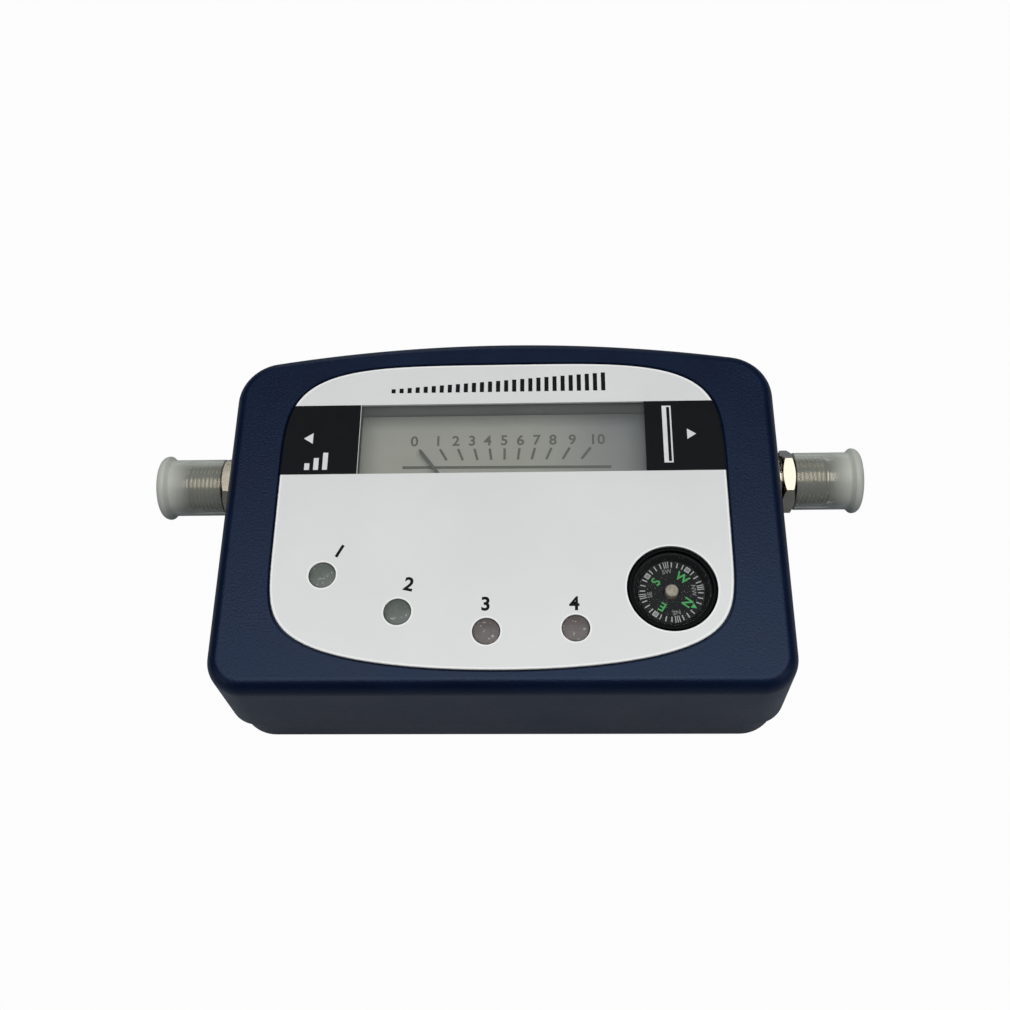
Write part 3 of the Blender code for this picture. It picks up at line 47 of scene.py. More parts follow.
caseShift = (-0.4, -0.9, 0)     # mm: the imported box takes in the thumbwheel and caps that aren't even
toFrame = Matrix.Diagonal((mm, mm, mm, 1)) @ Matrix.Translation(caseShift)
fitGap = 0.3                # mm between pieces that fit into each other
overrun = 1.0               # mm that a cutter runs past what it cuts
smoothAngle = radians(32)


# A hex colour as linear numbers with alpha
def colour(code):
    channels = [int(code[i:i + 2], 16) / 255 for i in (1, 3, 5)]
    return (*[c / 12.92 if c <= 0.04045 else ((c + 0.055) / 1.055) ** 2.4 for c in channels], 1.0)


# Adds a node with its own settings. Its inputs are numbers or colours, or nodes or sockets to link from.
def addNode(tree, kind, inputs=(), **settings):
    node = tree.nodes.new(kind)
    for name, value in settings.items():
        setattr(node, name, value)
    for key, value in inputs.items() if isinstance(inputs, dict) else enumerate(inputs):
        if isinstance(value, bpy.types.Node):
            value = value.outputs[0]
        if isinstance(value, bpy.types.NodeSocket):
            tree.links.new(value, node.inputs[key])
        else:
            node.inputs[key].default_value = value
    return node


def addObject(name, data):
    thing = bpy.data.objects.new(name, data)
    bpy.context.scene.collection.objects.link(thing)
    return thing


# How many features of a size in mm go into a metre, which is what a pattern's scale means here
def perMetre(size):
    return 1 / (size * mm)


# Camera, as fitted to the outline of the case and the round openings in the photograph

cameraView = {
    "place": (9.79, -92.65, 223.66),        # mm in the frame
    "elevation": radians(64.65), "roll": radians(-5.91), "yaw": radians(5.89),
    "focalPixels": 1168, "framePixels": 1010, "sensor": 36.0,
    "clip": (0.01, 20),                     # m
}


def setCamera():
    tilt, roll = cameraView["elevation"], cameraView["roll"]
    across, upright = Vector((1, 0, 0)), Vector((0, sin(tilt), cos(tilt)))
    turn = Matrix.Rotation(cameraView["yaw"], 3, "Z")
    right = turn @ (across * cos(roll) + upright * sin(roll))
    up = turn @ (upright * cos(roll) - across * sin(roll))
    back = turn @ Vector((0, -cos(tilt), sin(tilt)))
    data = bpy.data.cameras.new("photoCamera")
    data.sensor_width = cameraView["sensor"]
    data.lens = cameraView["focalPixels"] * cameraView["sensor"] / cameraView["framePixels"]
    data.clip_start, data.clip_end = cameraView["clip"]
    pose = Matrix((right, up, back)).transposed().to_4x4()
    pose.translation = Vector(cameraView["place"]) * mm
    camera = addObject("photoCamera", data)
    camera.matrix_world = pose
    bpy.context.scene.camera = camera


setCamera()


# Studio: a pale table, one wide soft lamp high above, three weak ones round the table, and a dim room

studio = {
    "roomColour": "#D6DCE4", "roomStrength": 0.04,
    "tableColour": "#88909B", "tableRoughness": 0.9, "tableHalf": 1.5,      # m
    "seenWhite": 0.975,         # share of plain white in what the camera sees of the table
    "mirroredWhite": 0.05,      # the same in what metal and plastic reflect of it
    "lamps": {                  # place and size in m, power in W
        "keyLamp": ((0.03, 0.00, 0.68), (0.90, 0.56), 4.3),
        "leftLamp": ((-0.60, -0.34, 0.32), (0.40, 0.40), 0.35),
        "rightLamp": ((0.62, -0.32, 0.32), (0.40, 0.40), 0.40),
        "farLamp": ((-0.10, 0.75, 0.32), (0.45, 0.45), 0.6),
    },
}


# A soft rectangular lamp that faces the object, with its width level
def softLamp(name, place, size, power):
    data = bpy.data.lights.new(name, "AREA")
    data.shape = "RECTANGLE"
    data.size, data.size_y = size
    data.energy = power
    lamp = addObject(name, data)
    lamp.location = place
    back = Vector(place).normalized()
    right = Vector((0, 1, 0)).cross(back).normalized()
    lamp.rotation_euler = Matrix((right, back.cross(right), back)).transposed().to_euler()


def setStudio():
    scene = bpy.context.scene
    scene.view_settings.view_transform = "Standard"
    world = bpy.data.worlds.new("room")
    world.use_nodes = True
    background = world.node_tree.nodes["Background"]
    background.inputs["Color"].default_value = colour(studio["roomColour"])
    background.inputs["Strength"].default_value = studio["roomStrength"]
    scene.world = world
    for name, lamp in studio["lamps"].items():
        softLamp(name, *lamp)

    half = studio["tableHalf"]
    mesh = bpy.data.meshes.new("tableTop")
    mesh.from_pydata([(-half, -half, 0), (half, -half, 0), (half, half, 0), (-half, half, 0)], [], [(0, 1, 2, 3)])
    table = addObject("tableTop", mesh)
    paint = bpy.data.materials.new("paleTable")         # matt laminate: it shows soft shadows and no gloss
    paint.use_nodes = True
    tree = paint.node_tree
    add = partial(addNode, tree)
    shader = tree.nodes["Principled BSDF"]
    shader.inputs["Base Color"].default_value = colour(studio["tableColour"])
    shader.inputs["Roughness"].default_value = studio["tableRoughness"]
    rays = add("ShaderNodeLightPath").outputs
    straight = add("ShaderNodeMath", (rays["Is Camera Ray"], rays["Is Transmission Ray"]), operation="MAXIMUM")
    seen = add("ShaderNodeMath", (straight, studio["seenWhite"]), operation="MULTIPLY")
    share = add("ShaderNodeMath", (rays["Is Glossy Ray"], studio["mirroredWhite"], seen), operation="MULTIPLY_ADD")
    white = add("ShaderNodeEmission", {"Color": (1, 1, 1, 1), "Strength": 1.0})
    both = add("ShaderNodeMixShader", (share, shader, white))
    tree.links.new(both.outputs[0], tree.nodes["Material Output"].inputs["Surface"])
    mesh.materials.append(paint)


setStudio()
print("camera and studio are set")


# Materials: the two shades that the surface drifts between, the size of that drift, the least and most roughness,
# the size and depth of the grain, and what else the shader is given. Sizes are in mm of the object.

metal = {"Metallic": 1.0}
smokyResin = {"Alpha": 0.92, "IOR": 1.55, "Specular IOR Level": 0.3}
finishes = {
    # injection-moulded ABS, dyed navy, from a spark-eroded tool: a satin skin with an even grain, which is drawn
    # twice as coarse as it is so that it shows
    "navyAbs": ("#081227", "#0A172F", 14, 0.31, 0.37, 0.40, 0.042,
                {"Specular IOR Level": 0.33, "Specular Tint": colour("#B9D2FF")}),
    # aluminium sheet with a silver lacquer and a clear coat: pale, even, with a soft sheen
    "silverSheet": ("#E1E4E3", "#E6E9E7", 22, 0.32, 0.38, 0.10, 0.0012, {"Coat Weight": 0.15, "Coat Roughness": 0.2}),
    # painted highlight along the edges of the sheet: the brightest line of the face
    "bareEdge": ("#F6F7F6", "#FBFCFB", 6, 0.35, 0.45, 0.10, 0.001),
    # screen-printed black ink: dense and slightly satin
    "blackInk": ("#0B0E10", "#101315", 4, 0.50, 0.60, 0.12, 0.0015, {"Specular IOR Level": 0.1}),
    # screen-printed white ink: a thin even layer
    "whiteInk": ("#DCDEDE", "#E6E8E7", 3, 0.45, 0.55, 0.12, 0.0015),
    # screen-printed grey ink of the scale: matt
    "greyInk": ("#50524B", "#5A5C54", 3, 0.55, 0.65, 0.12, 0.001),
    # painted card of the scale: matt olive-beige, with painted shade added further down that makes it a darker cool
    # grey towards its right end and its far edge
    "scaleCard": ("#AAABA0", "#B1B2A8", 16, 0.60, 0.70, 0.09, 0.0015),
    # moulded polystyrene of the meter's case: plain grey, half matt
    "greyStyrene": ("#7E8286", "#878B8F", 9, 0.45, 0.55, 0.2, 0.004),
    # clear polystyrene pane: polished on both faces, with a faint haze
    "clearStyrene": ("#9FA39F", "#A9ADA9", 12, 0.10, 0.16, 0.8, 0.001, {"Alpha": 0.10, "IOR": 1.59}),
    # clear acrylic lens of the compass: polished, all but unseen
    "clearAcrylic": ("#7E8284", "#888C8E", 8, 0.05, 0.09, 0.9, 0.001, {"Alpha": 0.02, "IOR": 1.49}),
    # moulded black plastic of the compass and the thumbwheel: deep black, with little gloss
    "blackStyrene": ("#050607", "#090B0C", 6, 0.30, 0.40, 0.15, 0.003, {"Specular IOR Level": 0.05}),
    # printed black foil of the compass card: it has a soft grey sheen
    "cardFoil": ("#07090A", "#101314", 5, 0.50, 0.62, 0.10, 0.002, {"Specular IOR Level": 0.12}),
    # luminous green ink of the compass letters
    "greenInk": ("#2FA648", "#3DB457", 1.2, 0.45, 0.55, 0.1, 0.001),
    # thin grey-white ink of the compass, and the same ink where it is thinner still
    "paleInk": ("#A9ABA8", "#BDBFBC", 1.2, 0.5, 0.6, 0.1, 0.001),
    "dimInk": ("#6F7271", "#848786", 1.2, 0.5, 0.6, 0.1, 0.001),
    # soft low-density polyethylene of the dust caps: milky, waxy, cloudy where it is thick
    "milkyPolythene": ("#BEC1B8", "#C6C9C0", 5, 0.34, 0.44, 0.5, 0.006, {"IOR": 1.51, "Specular IOR Level": 0.3}),
    # PTFE insulator in the socket: white, waxy
    "whitePtfe": ("#D9DAD6", "#E3E4E0", 3, 0.35, 0.45, 0.3, 0.003),
    # nickel plate on turned brass: warm silver with faint turning lines
    "nickelPlate": ("#A39D8E", "#AFA99A", 2.5, 0.15, 0.23, 0.15, 0.002, metal),
    # zinc-plated steel of the screws: grey, slightly uneven
    "zincSteel": ("#8F9294", "#A4A7A8", 1.5, 0.30, 0.45, 0.12, 0.003, metal),
    # soft iron of the yoke, tumbled: dull grey
    "softIron": ("#75777A", "#888A8C", 3, 0.35, 0.5, 0.25, 0.004, metal),
    # drawn brass of the bearings, the spring and the contacts: yellow, with a soft shine
    "brass": ("#B08D4C", "#C29F5E", 2, 0.25, 0.38, 0.2, 0.003, metal),
    # cut and ground magnet: dark grey
    "groundMagnet": ("#4C4E51", "#5C5E61", 2, 0.35, 0.5, 0.15, 0.004, metal),
    # enamelled copper wire, wound side by side: fine ridges
    "windingWire": ("#A3562B", "#B86B38", 1.5, 0.25, 0.35, 0.3, 0.002, metal),
    # tinned steel of the shield: bright, with the crystals of the tin
    "tinplate": ("#A8ABAD", "#C3C6C8", 3, 0.22, 0.42, 0.4, 0.002, metal),
    # glass-cloth laminate under green lacquer: the weave shows as faint lines
    "greenLaminate": ("#1C4A2C", "#235636", 10, 0.30, 0.40, 0.3, 0.002),
    # tinted epoxy of the lamps: glossy, smoky, with painted glints mixed into its colour further down
    "smokyEpoxyGreen": ("#5A625D", "#68706B", 1.6, 0.28, 0.40, 0.5, 0.010, smokyResin),
    "smokyEpoxyMauve": ("#605958", "#6E6766", 1.6, 0.28, 0.40, 0.5, 0.010, smokyResin),
    # nickel-silver strip of the lamp leads: pale, stamped
    "leadStrip": ("#A9A69F", "#BDBAB3", 1, 0.3, 0.4, 0.2, 0.002, metal),
    # lacquered aluminium of the needle: dark grey, matt
    "needleLacquer": ("#434542", "#4D4F4B", 2, 0.4, 0.5, 0.1, 0.001),
    # cast resin of the compass hub: pale beige, half clear
    "paleResin": ("#948D7C", "#AAA392", 1.1, 0.25, 0.35, 0.3, 0.004),
}
clouding = {
    "sleeve": 0.20, "bead": 0.97,           # how much of what lies behind one wall of the cap is hidden
    "from": 61.8, "to": 66.8,               # mm from the middle of the frame: it clouds up towards the bead
    "edge": 0.75,                           # added where a wall is seen edge-on
    "edgeFrom": 0.38, "edgeTo": 0.75,       # how squarely or not a wall is seen there
}
# painted shade on the scale card: where across X and along Y its colour turns to the cool grey, and how much
paintedShade = {"from": 2.0, "to": 31.0, "most": 0.9, "rearFrom": 14.0, "rearTo": 22.0, "rearMost": 0.30,       # mm
          "cool": "#787D81"}
# painted glints in the lamps' resin: speck size, where they start and reach full strength, their largest share, and
# their colour
paintedGlints = {"size": 0.55, "from": 0.64, "to": 0.72, "most": 0.5, "bright": "#C4C6C2"}       # size in mm
fineLines = {       # spacing and depth in mm, the axis that they follow each other along, and how much they waver
    "windingWire": (0.12, 0.02, "Y", 0.0),
    "nickelPlate": (0.16, 0.0012, "X", 0.6),
    "greenLaminate": (0.5, 0.004, "X", 0.0),
}
noise = {"detail": 3.0, "roughness": 0.55, "shadeRange": (0.32, 0.68), "glossRange": (0.3, 0.7), "grainDetail": 2.0}
materials, made = {}, {}


# A surface whose colour and gloss drift, with a fine relief. Patterns read Object coordinates.
def surface(name, first, second, patch, smooth, rough, grain, depth, sockets=None):
    materials[name] = material = bpy.data.materials.new(name)
    material.use_nodes = True
    tree = material.node_tree
    add = partial(addNode, tree)
    shader = tree.nodes["Principled BSDF"]
    for socket, value in (sockets or {}).items():
        shader.inputs[socket].default_value = value
    place = add("ShaderNodeTexCoord").outputs["Object"]
    drift = add("ShaderNodeTexNoise", {"Vector": place, "Scale": perMetre(patch), "Detail": noise["detail"],
                                       "Roughness": noise["roughness"]}).outputs["Fac"]
    spread = add("ShaderNodeMapRange", (drift, *noise["shadeRange"]))
    shades = add("ShaderNodeMix", {0: spread, 6: colour(first), 7: colour(second)}, data_type="RGBA").outputs[2]
    tree.links.new(shades, shader.inputs["Base Color"])
    gloss = add("ShaderNodeMapRange", (drift, *noise["glossRange"], smooth, rough))
    tree.links.new(gloss.outputs[0], shader.inputs["Roughness"])
    skinGrain = add("ShaderNodeTexNoise", {"Vector": place, "Scale": perMetre(grain), "Detail": noise["grainDetail"]})
    relief = add("ShaderNodeBump", {"Height": skinGrain.outputs["Fac"], "Distance": depth * mm, "Strength": 1.0})
    tree.links.new(relief.outputs[0], shader.inputs["Normal"])
    made[name] = add, place, tree, shader, shades, relief


# Adds a second relief of fine lines, as wire, brushing or turning leaves, over the grain of a surface
def addLines(name, spacing, depth, direction, distortion):
    add, place, tree, shader = made[name][:4]
    relief = made[name][-1]
    # a wave texture has one full wave in pi/10 units at scale 1
    lines = add("ShaderNodeTexWave", {"Vector": place, "Scale": perMetre(spacing) * pi / 10,
                                      "Distortion": distortion, "Detail": 1.0}, bands_direction=direction)
    second = add("ShaderNodeBump", {"Height": lines.outputs["Fac"], "Distance": depth * mm, "Strength": 1.0,
                                    "Normal": relief})
    tree.links.new(second.outputs[0], shader.inputs["Normal"])


# A cap is cloudy in its thick bead, half clear in its sleeve, and cloudier where the sleeve is seen edge-on
def cloudCap(name):
    add, place, tree, shader = made[name][:4]
    axes = add("ShaderNodeSeparateXYZ", (place,)).outputs
    away = add("ShaderNodeMath", (axes["X"],), operation="ABSOLUTE")
    thick = add("ShaderNodeMapRange", (away, clouding["from"] * mm, clouding["to"] * mm, clouding["sleeve"],
                                       clouding["bead"]), interpolation_type="SMOOTHSTEP")
    weight = add("ShaderNodeLayerWeight", {"Blend": 0.5})
    edgeOn = add("ShaderNodeMapRange", (weight.outputs["Facing"], clouding["edgeFrom"], clouding["edgeTo"], 0.0,
                                        clouding["edge"]), interpolation_type="SMOOTHSTEP")
    both = add("ShaderNodeMath", (thick, edgeOn), operation="ADD", use_clamp=True)
    tree.links.new(both.outputs[0], shader.inputs["Alpha"])


# Mixes a second colour into a surface by a share
def tint(name, share, code):
    add, _, tree, shader, shades = made[name][:-1]
    mixed = add("ShaderNodeMix", {0: share, 6: shades, 7: colour(code)}, data_type="RGBA")
    tree.links.new(mixed.outputs[2], shader.inputs["Base Color"])


# Painted shade: the card's colour turns to a darker cool grey towards its right end and its far edge, standing in for
# the shade that falls there inside the window
def ageCard(name):
    add, place = made[name][:2]
    axes = add("ShaderNodeSeparateXYZ", (place,)).outputs
    across = add("ShaderNodeMapRange", (axes["X"], paintedShade["from"] * mm, paintedShade["to"] * mm, 0.0, paintedShade["most"]),
                 interpolation_type="SMOOTHSTEP")
    along = add("ShaderNodeMapRange", (axes["Y"], paintedShade["rearFrom"] * mm, paintedShade["rearTo"] * mm, 0.0,
                                       paintedShade["rearMost"]))
    tint(name, add("ShaderNodeMath", (across, along), operation="ADD", use_clamp=True), paintedShade["cool"])


# Painted glints: bright specks mixed into the colour of a lamp's smoky resin, standing in for light caught by its cup
# and bond wire
def glintResin(name):
    add, place = made[name][:2]
    specks = add("ShaderNodeTexNoise", {"Vector": place, "Scale": perMetre(paintedGlints["size"]), "Detail": 1.0})
    tint(name, add("ShaderNodeMapRange", (specks.outputs["Fac"], paintedGlints["from"], paintedGlints["to"], 0.0,
                                          paintedGlints["most"])), paintedGlints["bright"])


for name, look in finishes.items():
    surface(name, *look)
cloudCap("milkyPolythene")
ageCard("scaleCard")
glintResin("smokyEpoxyGreen")
glintResin("smokyEpoxyMauve")
for name, lines in fineLines.items():
    addLines(name, *lines)
print("materials:", len(materials))


# Tools for shapes

def newMesh(name, bm, finish=None):
    bmesh.ops.remove_doubles(bm, verts=bm.verts, dist=0.0005)
    bmesh.ops.recalc_face_normals(bm, faces=bm.faces)
    mesh = bpy.data.meshes.new(name)
    bm.to_mesh(mesh)
    bm.free()
    if finish:
        mesh.materials.append(materials[finish])
    return addObject(name, mesh)


# The mesh of an object as its modifiers or its curve leave it
def plainMesh(thing):
    bpy.context.view_layer.update()
    return bpy.data.meshes.new_from_object(thing.evaluated_get(bpy.context.evaluated_depsgraph_get()))


def settle(piece):
    mesh = plainMesh(piece)
    piece.modifiers.clear()
    piece.data = mesh
    return piece


def drop(piece):
    bpy.data.objects.remove(piece, do_unlink=True)


def combine(piece, bm, operation="DIFFERENCE"):
    shape = newMesh("shapingTool", bm)
    modifier = piece.modifiers.new("shaping", "BOOLEAN")
    modifier.operation = operation
    modifier.solver = "EXACT"
    modifier.object = shape
    settle(piece)
    drop(shape)


# Joins shapes of one finish into the first one
def joinPieces(first, *others):
    bm = bmesh.new()
    for piece in (first, *others):
        bm.from_mesh(piece.data)
    mesh = bpy.data.meshes.new(first.name)
    bm.to_mesh(mesh)
    bm.free()
    for material in first.data.materials:
        mesh.materials.append(material)
    first.data = mesh
    for piece in others:
        drop(piece)
    return first


# Sets a piece into the frame with its shading and its body, and hides the nodes it stands for. The material slot that
# it is given is not used.
def finishPiece(piece, body, slot, *nodes, place=Matrix()):
    piece.data.transform(toFrame @ place)
    piece.data.shade_smooth()
    piece.data.set_sharp_from_angle(angle=smoothAngle)
    even = piece.modifiers.new("evenNormals", "WEIGHTED_NORMAL")
    even.keep_sharp = True
    settle(piece)
    piece.data.name = piece.name
    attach(piece, body)
    if nodes:
        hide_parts(*nodes)


def ringAt(points, height):
    return [(x, y, height) for x, y in points]


# Faces from each ring to the next. They close on themselves when endless, and get flat ends when not.
def skin(bm, rings, endless=False):
    loops = [[bm.verts.new(point) for point in ring] for ring in rings]
    if endless:
        loops.append(loops[0])
    for lower, upper in zip(loops, loops[1:]):
        for i, corner in enumerate(lower):
            j = (i + 1) % len(lower)
            bm.faces.new((corner, lower[j], upper[j], upper[i]))
    if not endless:
        bm.faces.new(loops[0])
        bm.faces.new(loops[-1])
    return bm


def prism(bm, points, base, top):
    return skin(bm, [ringAt(points, base), ringAt(points, top)])


# A flat band between two outlines
def band(bm, outer, inner, base, top):
    return skin(bm, [ringAt(outer, base), ringAt(outer, top), ringAt(inner, top), ringAt(inner, base)], endless=True)


def rectangle(left, right, low, high):
    return [(left, low), (right, low), (right, high), (left, high)]


def block(bm, size, centre):
    bmesh.ops.create_cube(bm, size=1, matrix=Matrix.Translation(centre) @ Matrix.Diagonal((*size, 1)))
    return bm


def rod(bm, radius, start, end, steps=48, endRadius=None):
    start, end = Vector(start), Vector(end)
    along = end - start
    turn = Vector((0, 0, 1)).rotation_difference(along).to_matrix().to_4x4()
    bmesh.ops.create_cone(bm, cap_ends=True, segments=steps, radius1=radius,
                          radius2=radius if endRadius is None else endRadius, depth=along.length,
                          matrix=Matrix.Translation((start + end) / 2) @ turn)
    return bm


# An upright rod at each of a set of places
def rodsAt(bm, places, radius, low, high, steps=48):
    for x, y in places:
        rod(bm, radius, (x, y, low), (x, y, high), steps)
    return bm


def arc(centre, radius, first, last, steps):
    angles = [first + (last - first) * i / steps for i in range(steps + 1)]
    return [(centre[0] + radius * cos(angle), centre[1] + radius * sin(angle)) for angle in angles]


# Rounds the corners of a profile whose points are (x, y) or (x, y, radius)
def rounded(points, steps=5, endless=True):
    result = []
    for i, point in enumerate(points):
        here = Vector(point[:2])
        if len(point) == 2 or (not endless and i in (0, len(points) - 1)):
            result.append(tuple(here))
            continue
        before = (Vector(points[i - 1][:2]) - here).normalized()
        after = (Vector(points[(i + 1) % len(points)][:2]) - here).normalized()
        half = before.angle(after) / 2
        centre = here + (before + after).normalized() * point[2] / sin(half)
        start = here + before * point[2] / tan(half) - centre
        end = here + after * point[2] / tan(half) - centre
        first = atan2(start.y, start.x)
        sweep = atan2(start.x * end.y - start.y * end.x, start.dot(end))
        result += arc(centre, point[2], first, first + sweep, steps)
    return result


# Spins a profile of (radius, height) about Z: endless where the profile closes on itself
def turned(bm, profile, steps=96, endless=False):
    loops = []
    for radius, height in profile:
        spots = [(0, 0)] if radius < 1e-6 else [(radius * cos(2 * pi * i / steps), radius * sin(2 * pi * i / steps))
                                                for i in range(steps)]
        loops.append([bm.verts.new((x, y, height)) for x, y in spots])
    if endless:
        loops.append(loops[0])
    for first, second in zip(loops, loops[1:]):
        for i in range(steps):
            j = (i + 1) % steps
            corners = [first[i % len(first)], first[j % len(first)], second[j % len(second)],
                       second[i % len(second)]]
            corners = [corner for k, corner in enumerate(corners) if corner not in corners[:k]]
            if len(corners) > 2:
                bm.faces.new(corners)
    return bm


# Geometry node trees for what repeats or follows a path. Each kind of input has the names of its inputs.

def startTree(name, **kinds):
    tree = bpy.data.node_groups.new(name, "GeometryNodeTree")
    tree.interface.new_socket("Geometry", in_out="OUTPUT", socket_type="NodeSocketGeometry")
    for kind, labels in {"Geometry": "Geometry", **kinds, "Material": "Finish"}.items():
        for label in labels.split():
            tree.interface.new_socket(label, in_out="INPUT", socket_type="NodeSocket" + kind)
    return tree, addNode(tree, "NodeGroupInput").outputs, partial(addNode, tree)


def endTree(tree, geometry, finish):
    real = addNode(tree, "GeometryNodeRealizeInstances", (geometry,))
    coated = addNode(tree, "GeometryNodeSetMaterial", {"Geometry": real, "Material": finish})
    addNode(tree, "NodeGroupOutput", (coated,))
    return tree


def runTree(piece, tree, finish, **values):
    modifier = piece.modifiers.new(tree.name, "NODES")
    modifier.node_group = tree
    values["Finish"] = materials[finish]
    for item in tree.interface.items_tree:
        if item.in_out == "INPUT" and item.name in values:
            modifier[item.identifier] = values[item.name]
    return settle(piece)


# Copies of a shape turned round the Z axis. They stand in groups, with a jump between one group and the next,
# and can be stretched so that a fan of marks ends on a straight line.
def makeRoundTree():
    tree, given, add = startTree("repeatRound", Int="Count Group", Float="First Step Jump Straighten")
    index = add("GeometryNodeInputIndex")
    share = add("ShaderNodeMath", (index, given["Group"]), operation="DIVIDE")
    group = add("ShaderNodeMath", (share,), operation="FLOOR")
    steps = add("ShaderNodeMath", (index, given["Step"], given["First"]), operation="MULTIPLY_ADD")
    angle = add("ShaderNodeMath", (group, given["Jump"], steps), operation="MULTIPLY_ADD")
    upright = add("ShaderNodeMath", (angle,), operation="COSINE")
    longer = add("ShaderNodeMath", (1.0, upright), operation="DIVIDE")
    less = add("ShaderNodeMath", (longer, 1.0), operation="SUBTRACT")
    stretch = add("ShaderNodeMath", (less, given["Straighten"], 1.0), operation="MULTIPLY_ADD")
    turn = add("ShaderNodeCombineXYZ", (0.0, 0.0, angle))
    rotation = add("FunctionNodeEulerToRotation", (turn,))
    scale = add("ShaderNodeCombineXYZ", (1.0, stretch, 1.0))
    points = add("GeometryNodePoints", {"Count": given["Count"]})
    copies = add("GeometryNodeInstanceOnPoints", {"Points": points, "Instance": given["Geometry"],
                                                  "Rotation": rotation, "Scale": scale})
    return endTree(tree, copies, given["Finish"])


# Copies of another object on the points of this one, each turned by chance
def makeScatterTree():
    tree, given, add = startTree("setOnPoints", Object="Pattern", Float="Turn", Int="Seed")
    pattern = add("GeometryNodeObjectInfo", {"Object": given["Pattern"]})
    chance = add("FunctionNodeRandomValue", {2: 0.0, 3: given["Turn"], "Seed": given["Seed"]}, data_type="FLOAT")
    turn = add("ShaderNodeCombineXYZ", (0.0, 0.0, chance.outputs[1]))
    rotation = add("FunctionNodeEulerToRotation", (turn,))
    copies = add("GeometryNodeInstanceOnPoints", {
        "Points": given["Geometry"], "Instance": pattern.outputs["Geometry"], "Rotation": rotation})
    return endTree(tree, copies, given["Finish"])


# A ridge or a band that winds about Z: a screw thread where it climbs, a flat spring where it widens
def makeWindingTree():
    tree, given, add = startTree("winding", Int="Steps Sides", Float="Turns Inner Outer Rise Width Height")
    route = add("GeometryNodeCurveSpiral", {
        "Resolution": given["Steps"], "Rotations": given["Turns"], "Start Radius": given["Inner"],
        "End Radius": given["Outer"], "Height": given["Rise"]})
    level = add("GeometryNodeSetCurveNormal", {"Curve": route}, mode="Z_UP")
    circle = add("GeometryNodeCurvePrimitiveCircle", {"Resolution": given["Sides"], "Radius": 1.0})
    size = add("ShaderNodeCombineXYZ", (given["Width"], given["Height"], 1.0))
    section = add("GeometryNodeTransform", {"Geometry": circle, "Scale": size})
    swept = add("GeometryNodeCurveToMesh", {"Curve": level, "Profile Curve": section, "Fill Caps": True})
    return endTree(tree, swept, given["Finish"])


# The face panel: a sheet whose outline swells by a power law that differs between its near and far half
def makePanelTree():
    tree, given, add = startTree("powerSheet", Int="Steps", Float="HalfWidth FrontReach RearReach FrontAcross "
                                 "RearAcross FrontAlong RearAlong Base Thickness Bevel")
    disc = add("GeometryNodeMeshCircle", {"Vertices": given["Steps"], "Radius": 1.0}, fill_type="NGON")
    spot = add("ShaderNodeSeparateXYZ", (add("GeometryNodeInputPosition"),))
    rear = add("ShaderNodeMath", (spot.outputs["Y"], 0.0), operation="GREATER_THAN")
    reach = add("ShaderNodeMix", {0: rear, 2: given["FrontReach"], 3: given["RearReach"]})
    laid = []
    for axis, way, size in (("X", "Across", given["HalfWidth"]), ("Y", "Along", reach)):
        power = add("ShaderNodeMix", {0: rear, 2: given["Front" + way], 3: given["Rear" + way]})
        exponent = add("ShaderNodeMath", (2.0, power), operation="DIVIDE")
        length = add("ShaderNodeMath", (spot.outputs[axis],), operation="ABSOLUTE")
        raised = add("ShaderNodeMath", (length, exponent), operation="POWER")
        side = add("ShaderNodeMath", (spot.outputs[axis],), operation="SIGN")
        signed = add("ShaderNodeMath", (raised, side), operation="MULTIPLY")
        laid.append(add("ShaderNodeMath", (signed, size), operation="MULTIPLY"))
    swollen = add("ShaderNodeCombineXYZ", (*laid, given["Base"]))
    base = add("GeometryNodeSetPosition", {"Geometry": disc, "Position": swollen})
    straight = add("ShaderNodeMath", (given["Thickness"], given["Bevel"]), operation="SUBTRACT")
    upwards = {"Offset": (0.0, 0.0, 1.0), "Individual": False}
    edge = add("GeometryNodeExtrudeMesh", {"Mesh": base, "Offset Scale": straight, **upwards})
    bevel = add("GeometryNodeExtrudeMesh", {"Mesh": edge, "Selection": edge.outputs["Top"],
                                            "Offset Scale": given["Bevel"], **upwards})
    drawnIn = add("ShaderNodeMath", (given["Bevel"], given["HalfWidth"]), operation="DIVIDE")
    shrink = add("ShaderNodeMath", (1.0, drawnIn), operation="SUBTRACT")
    factor = add("ShaderNodeCombineXYZ", (shrink, shrink, 1.0))
    smaller = add("ShaderNodeVectorMath", (add("GeometryNodeInputPosition"), factor), operation="MULTIPLY")
    top = add("GeometryNodeSetPosition", {"Geometry": bevel, "Selection": bevel.outputs["Top"],
                                          "Position": smaller})
    under = add("GeometryNodeFlipFaces", {"Mesh": base})
    shell = add("GeometryNodeJoinGeometry")
    for half in (top, under):
        tree.links.new(half.outputs[0], shell.inputs[0])
    whole = add("GeometryNodeMergeByDistance", {"Geometry": shell, "Distance": 0.001})
    return endTree(tree, whole, given["Finish"])


roundTree, scatterTree = makeRoundTree(), makeScatterTree()
windingTree, panelTree = makeWindingTree(), makePanelTree()


# Copies of a pattern on a set of places, as one piece
def scatter(name, pattern, finish, places, level, turn, seed):
    points = bpy.data.meshes.new(name)
    points.from_pydata([(x, y, level) for x, y in places], [], [])
    piece = runTree(addObject(name, points), scatterTree, finish, Pattern=pattern, Turn=turn, Seed=seed)
    drop(pattern)
    return piece


# Even copies of a shape all round Z
def allRound(piece, finish, count, first=0.0):
    return runTree(piece, roundTree, finish, Count=count, Group=count, First=first, Step=2 * pi / count, Jump=0.0,
                   Straighten=0.0)


# Case

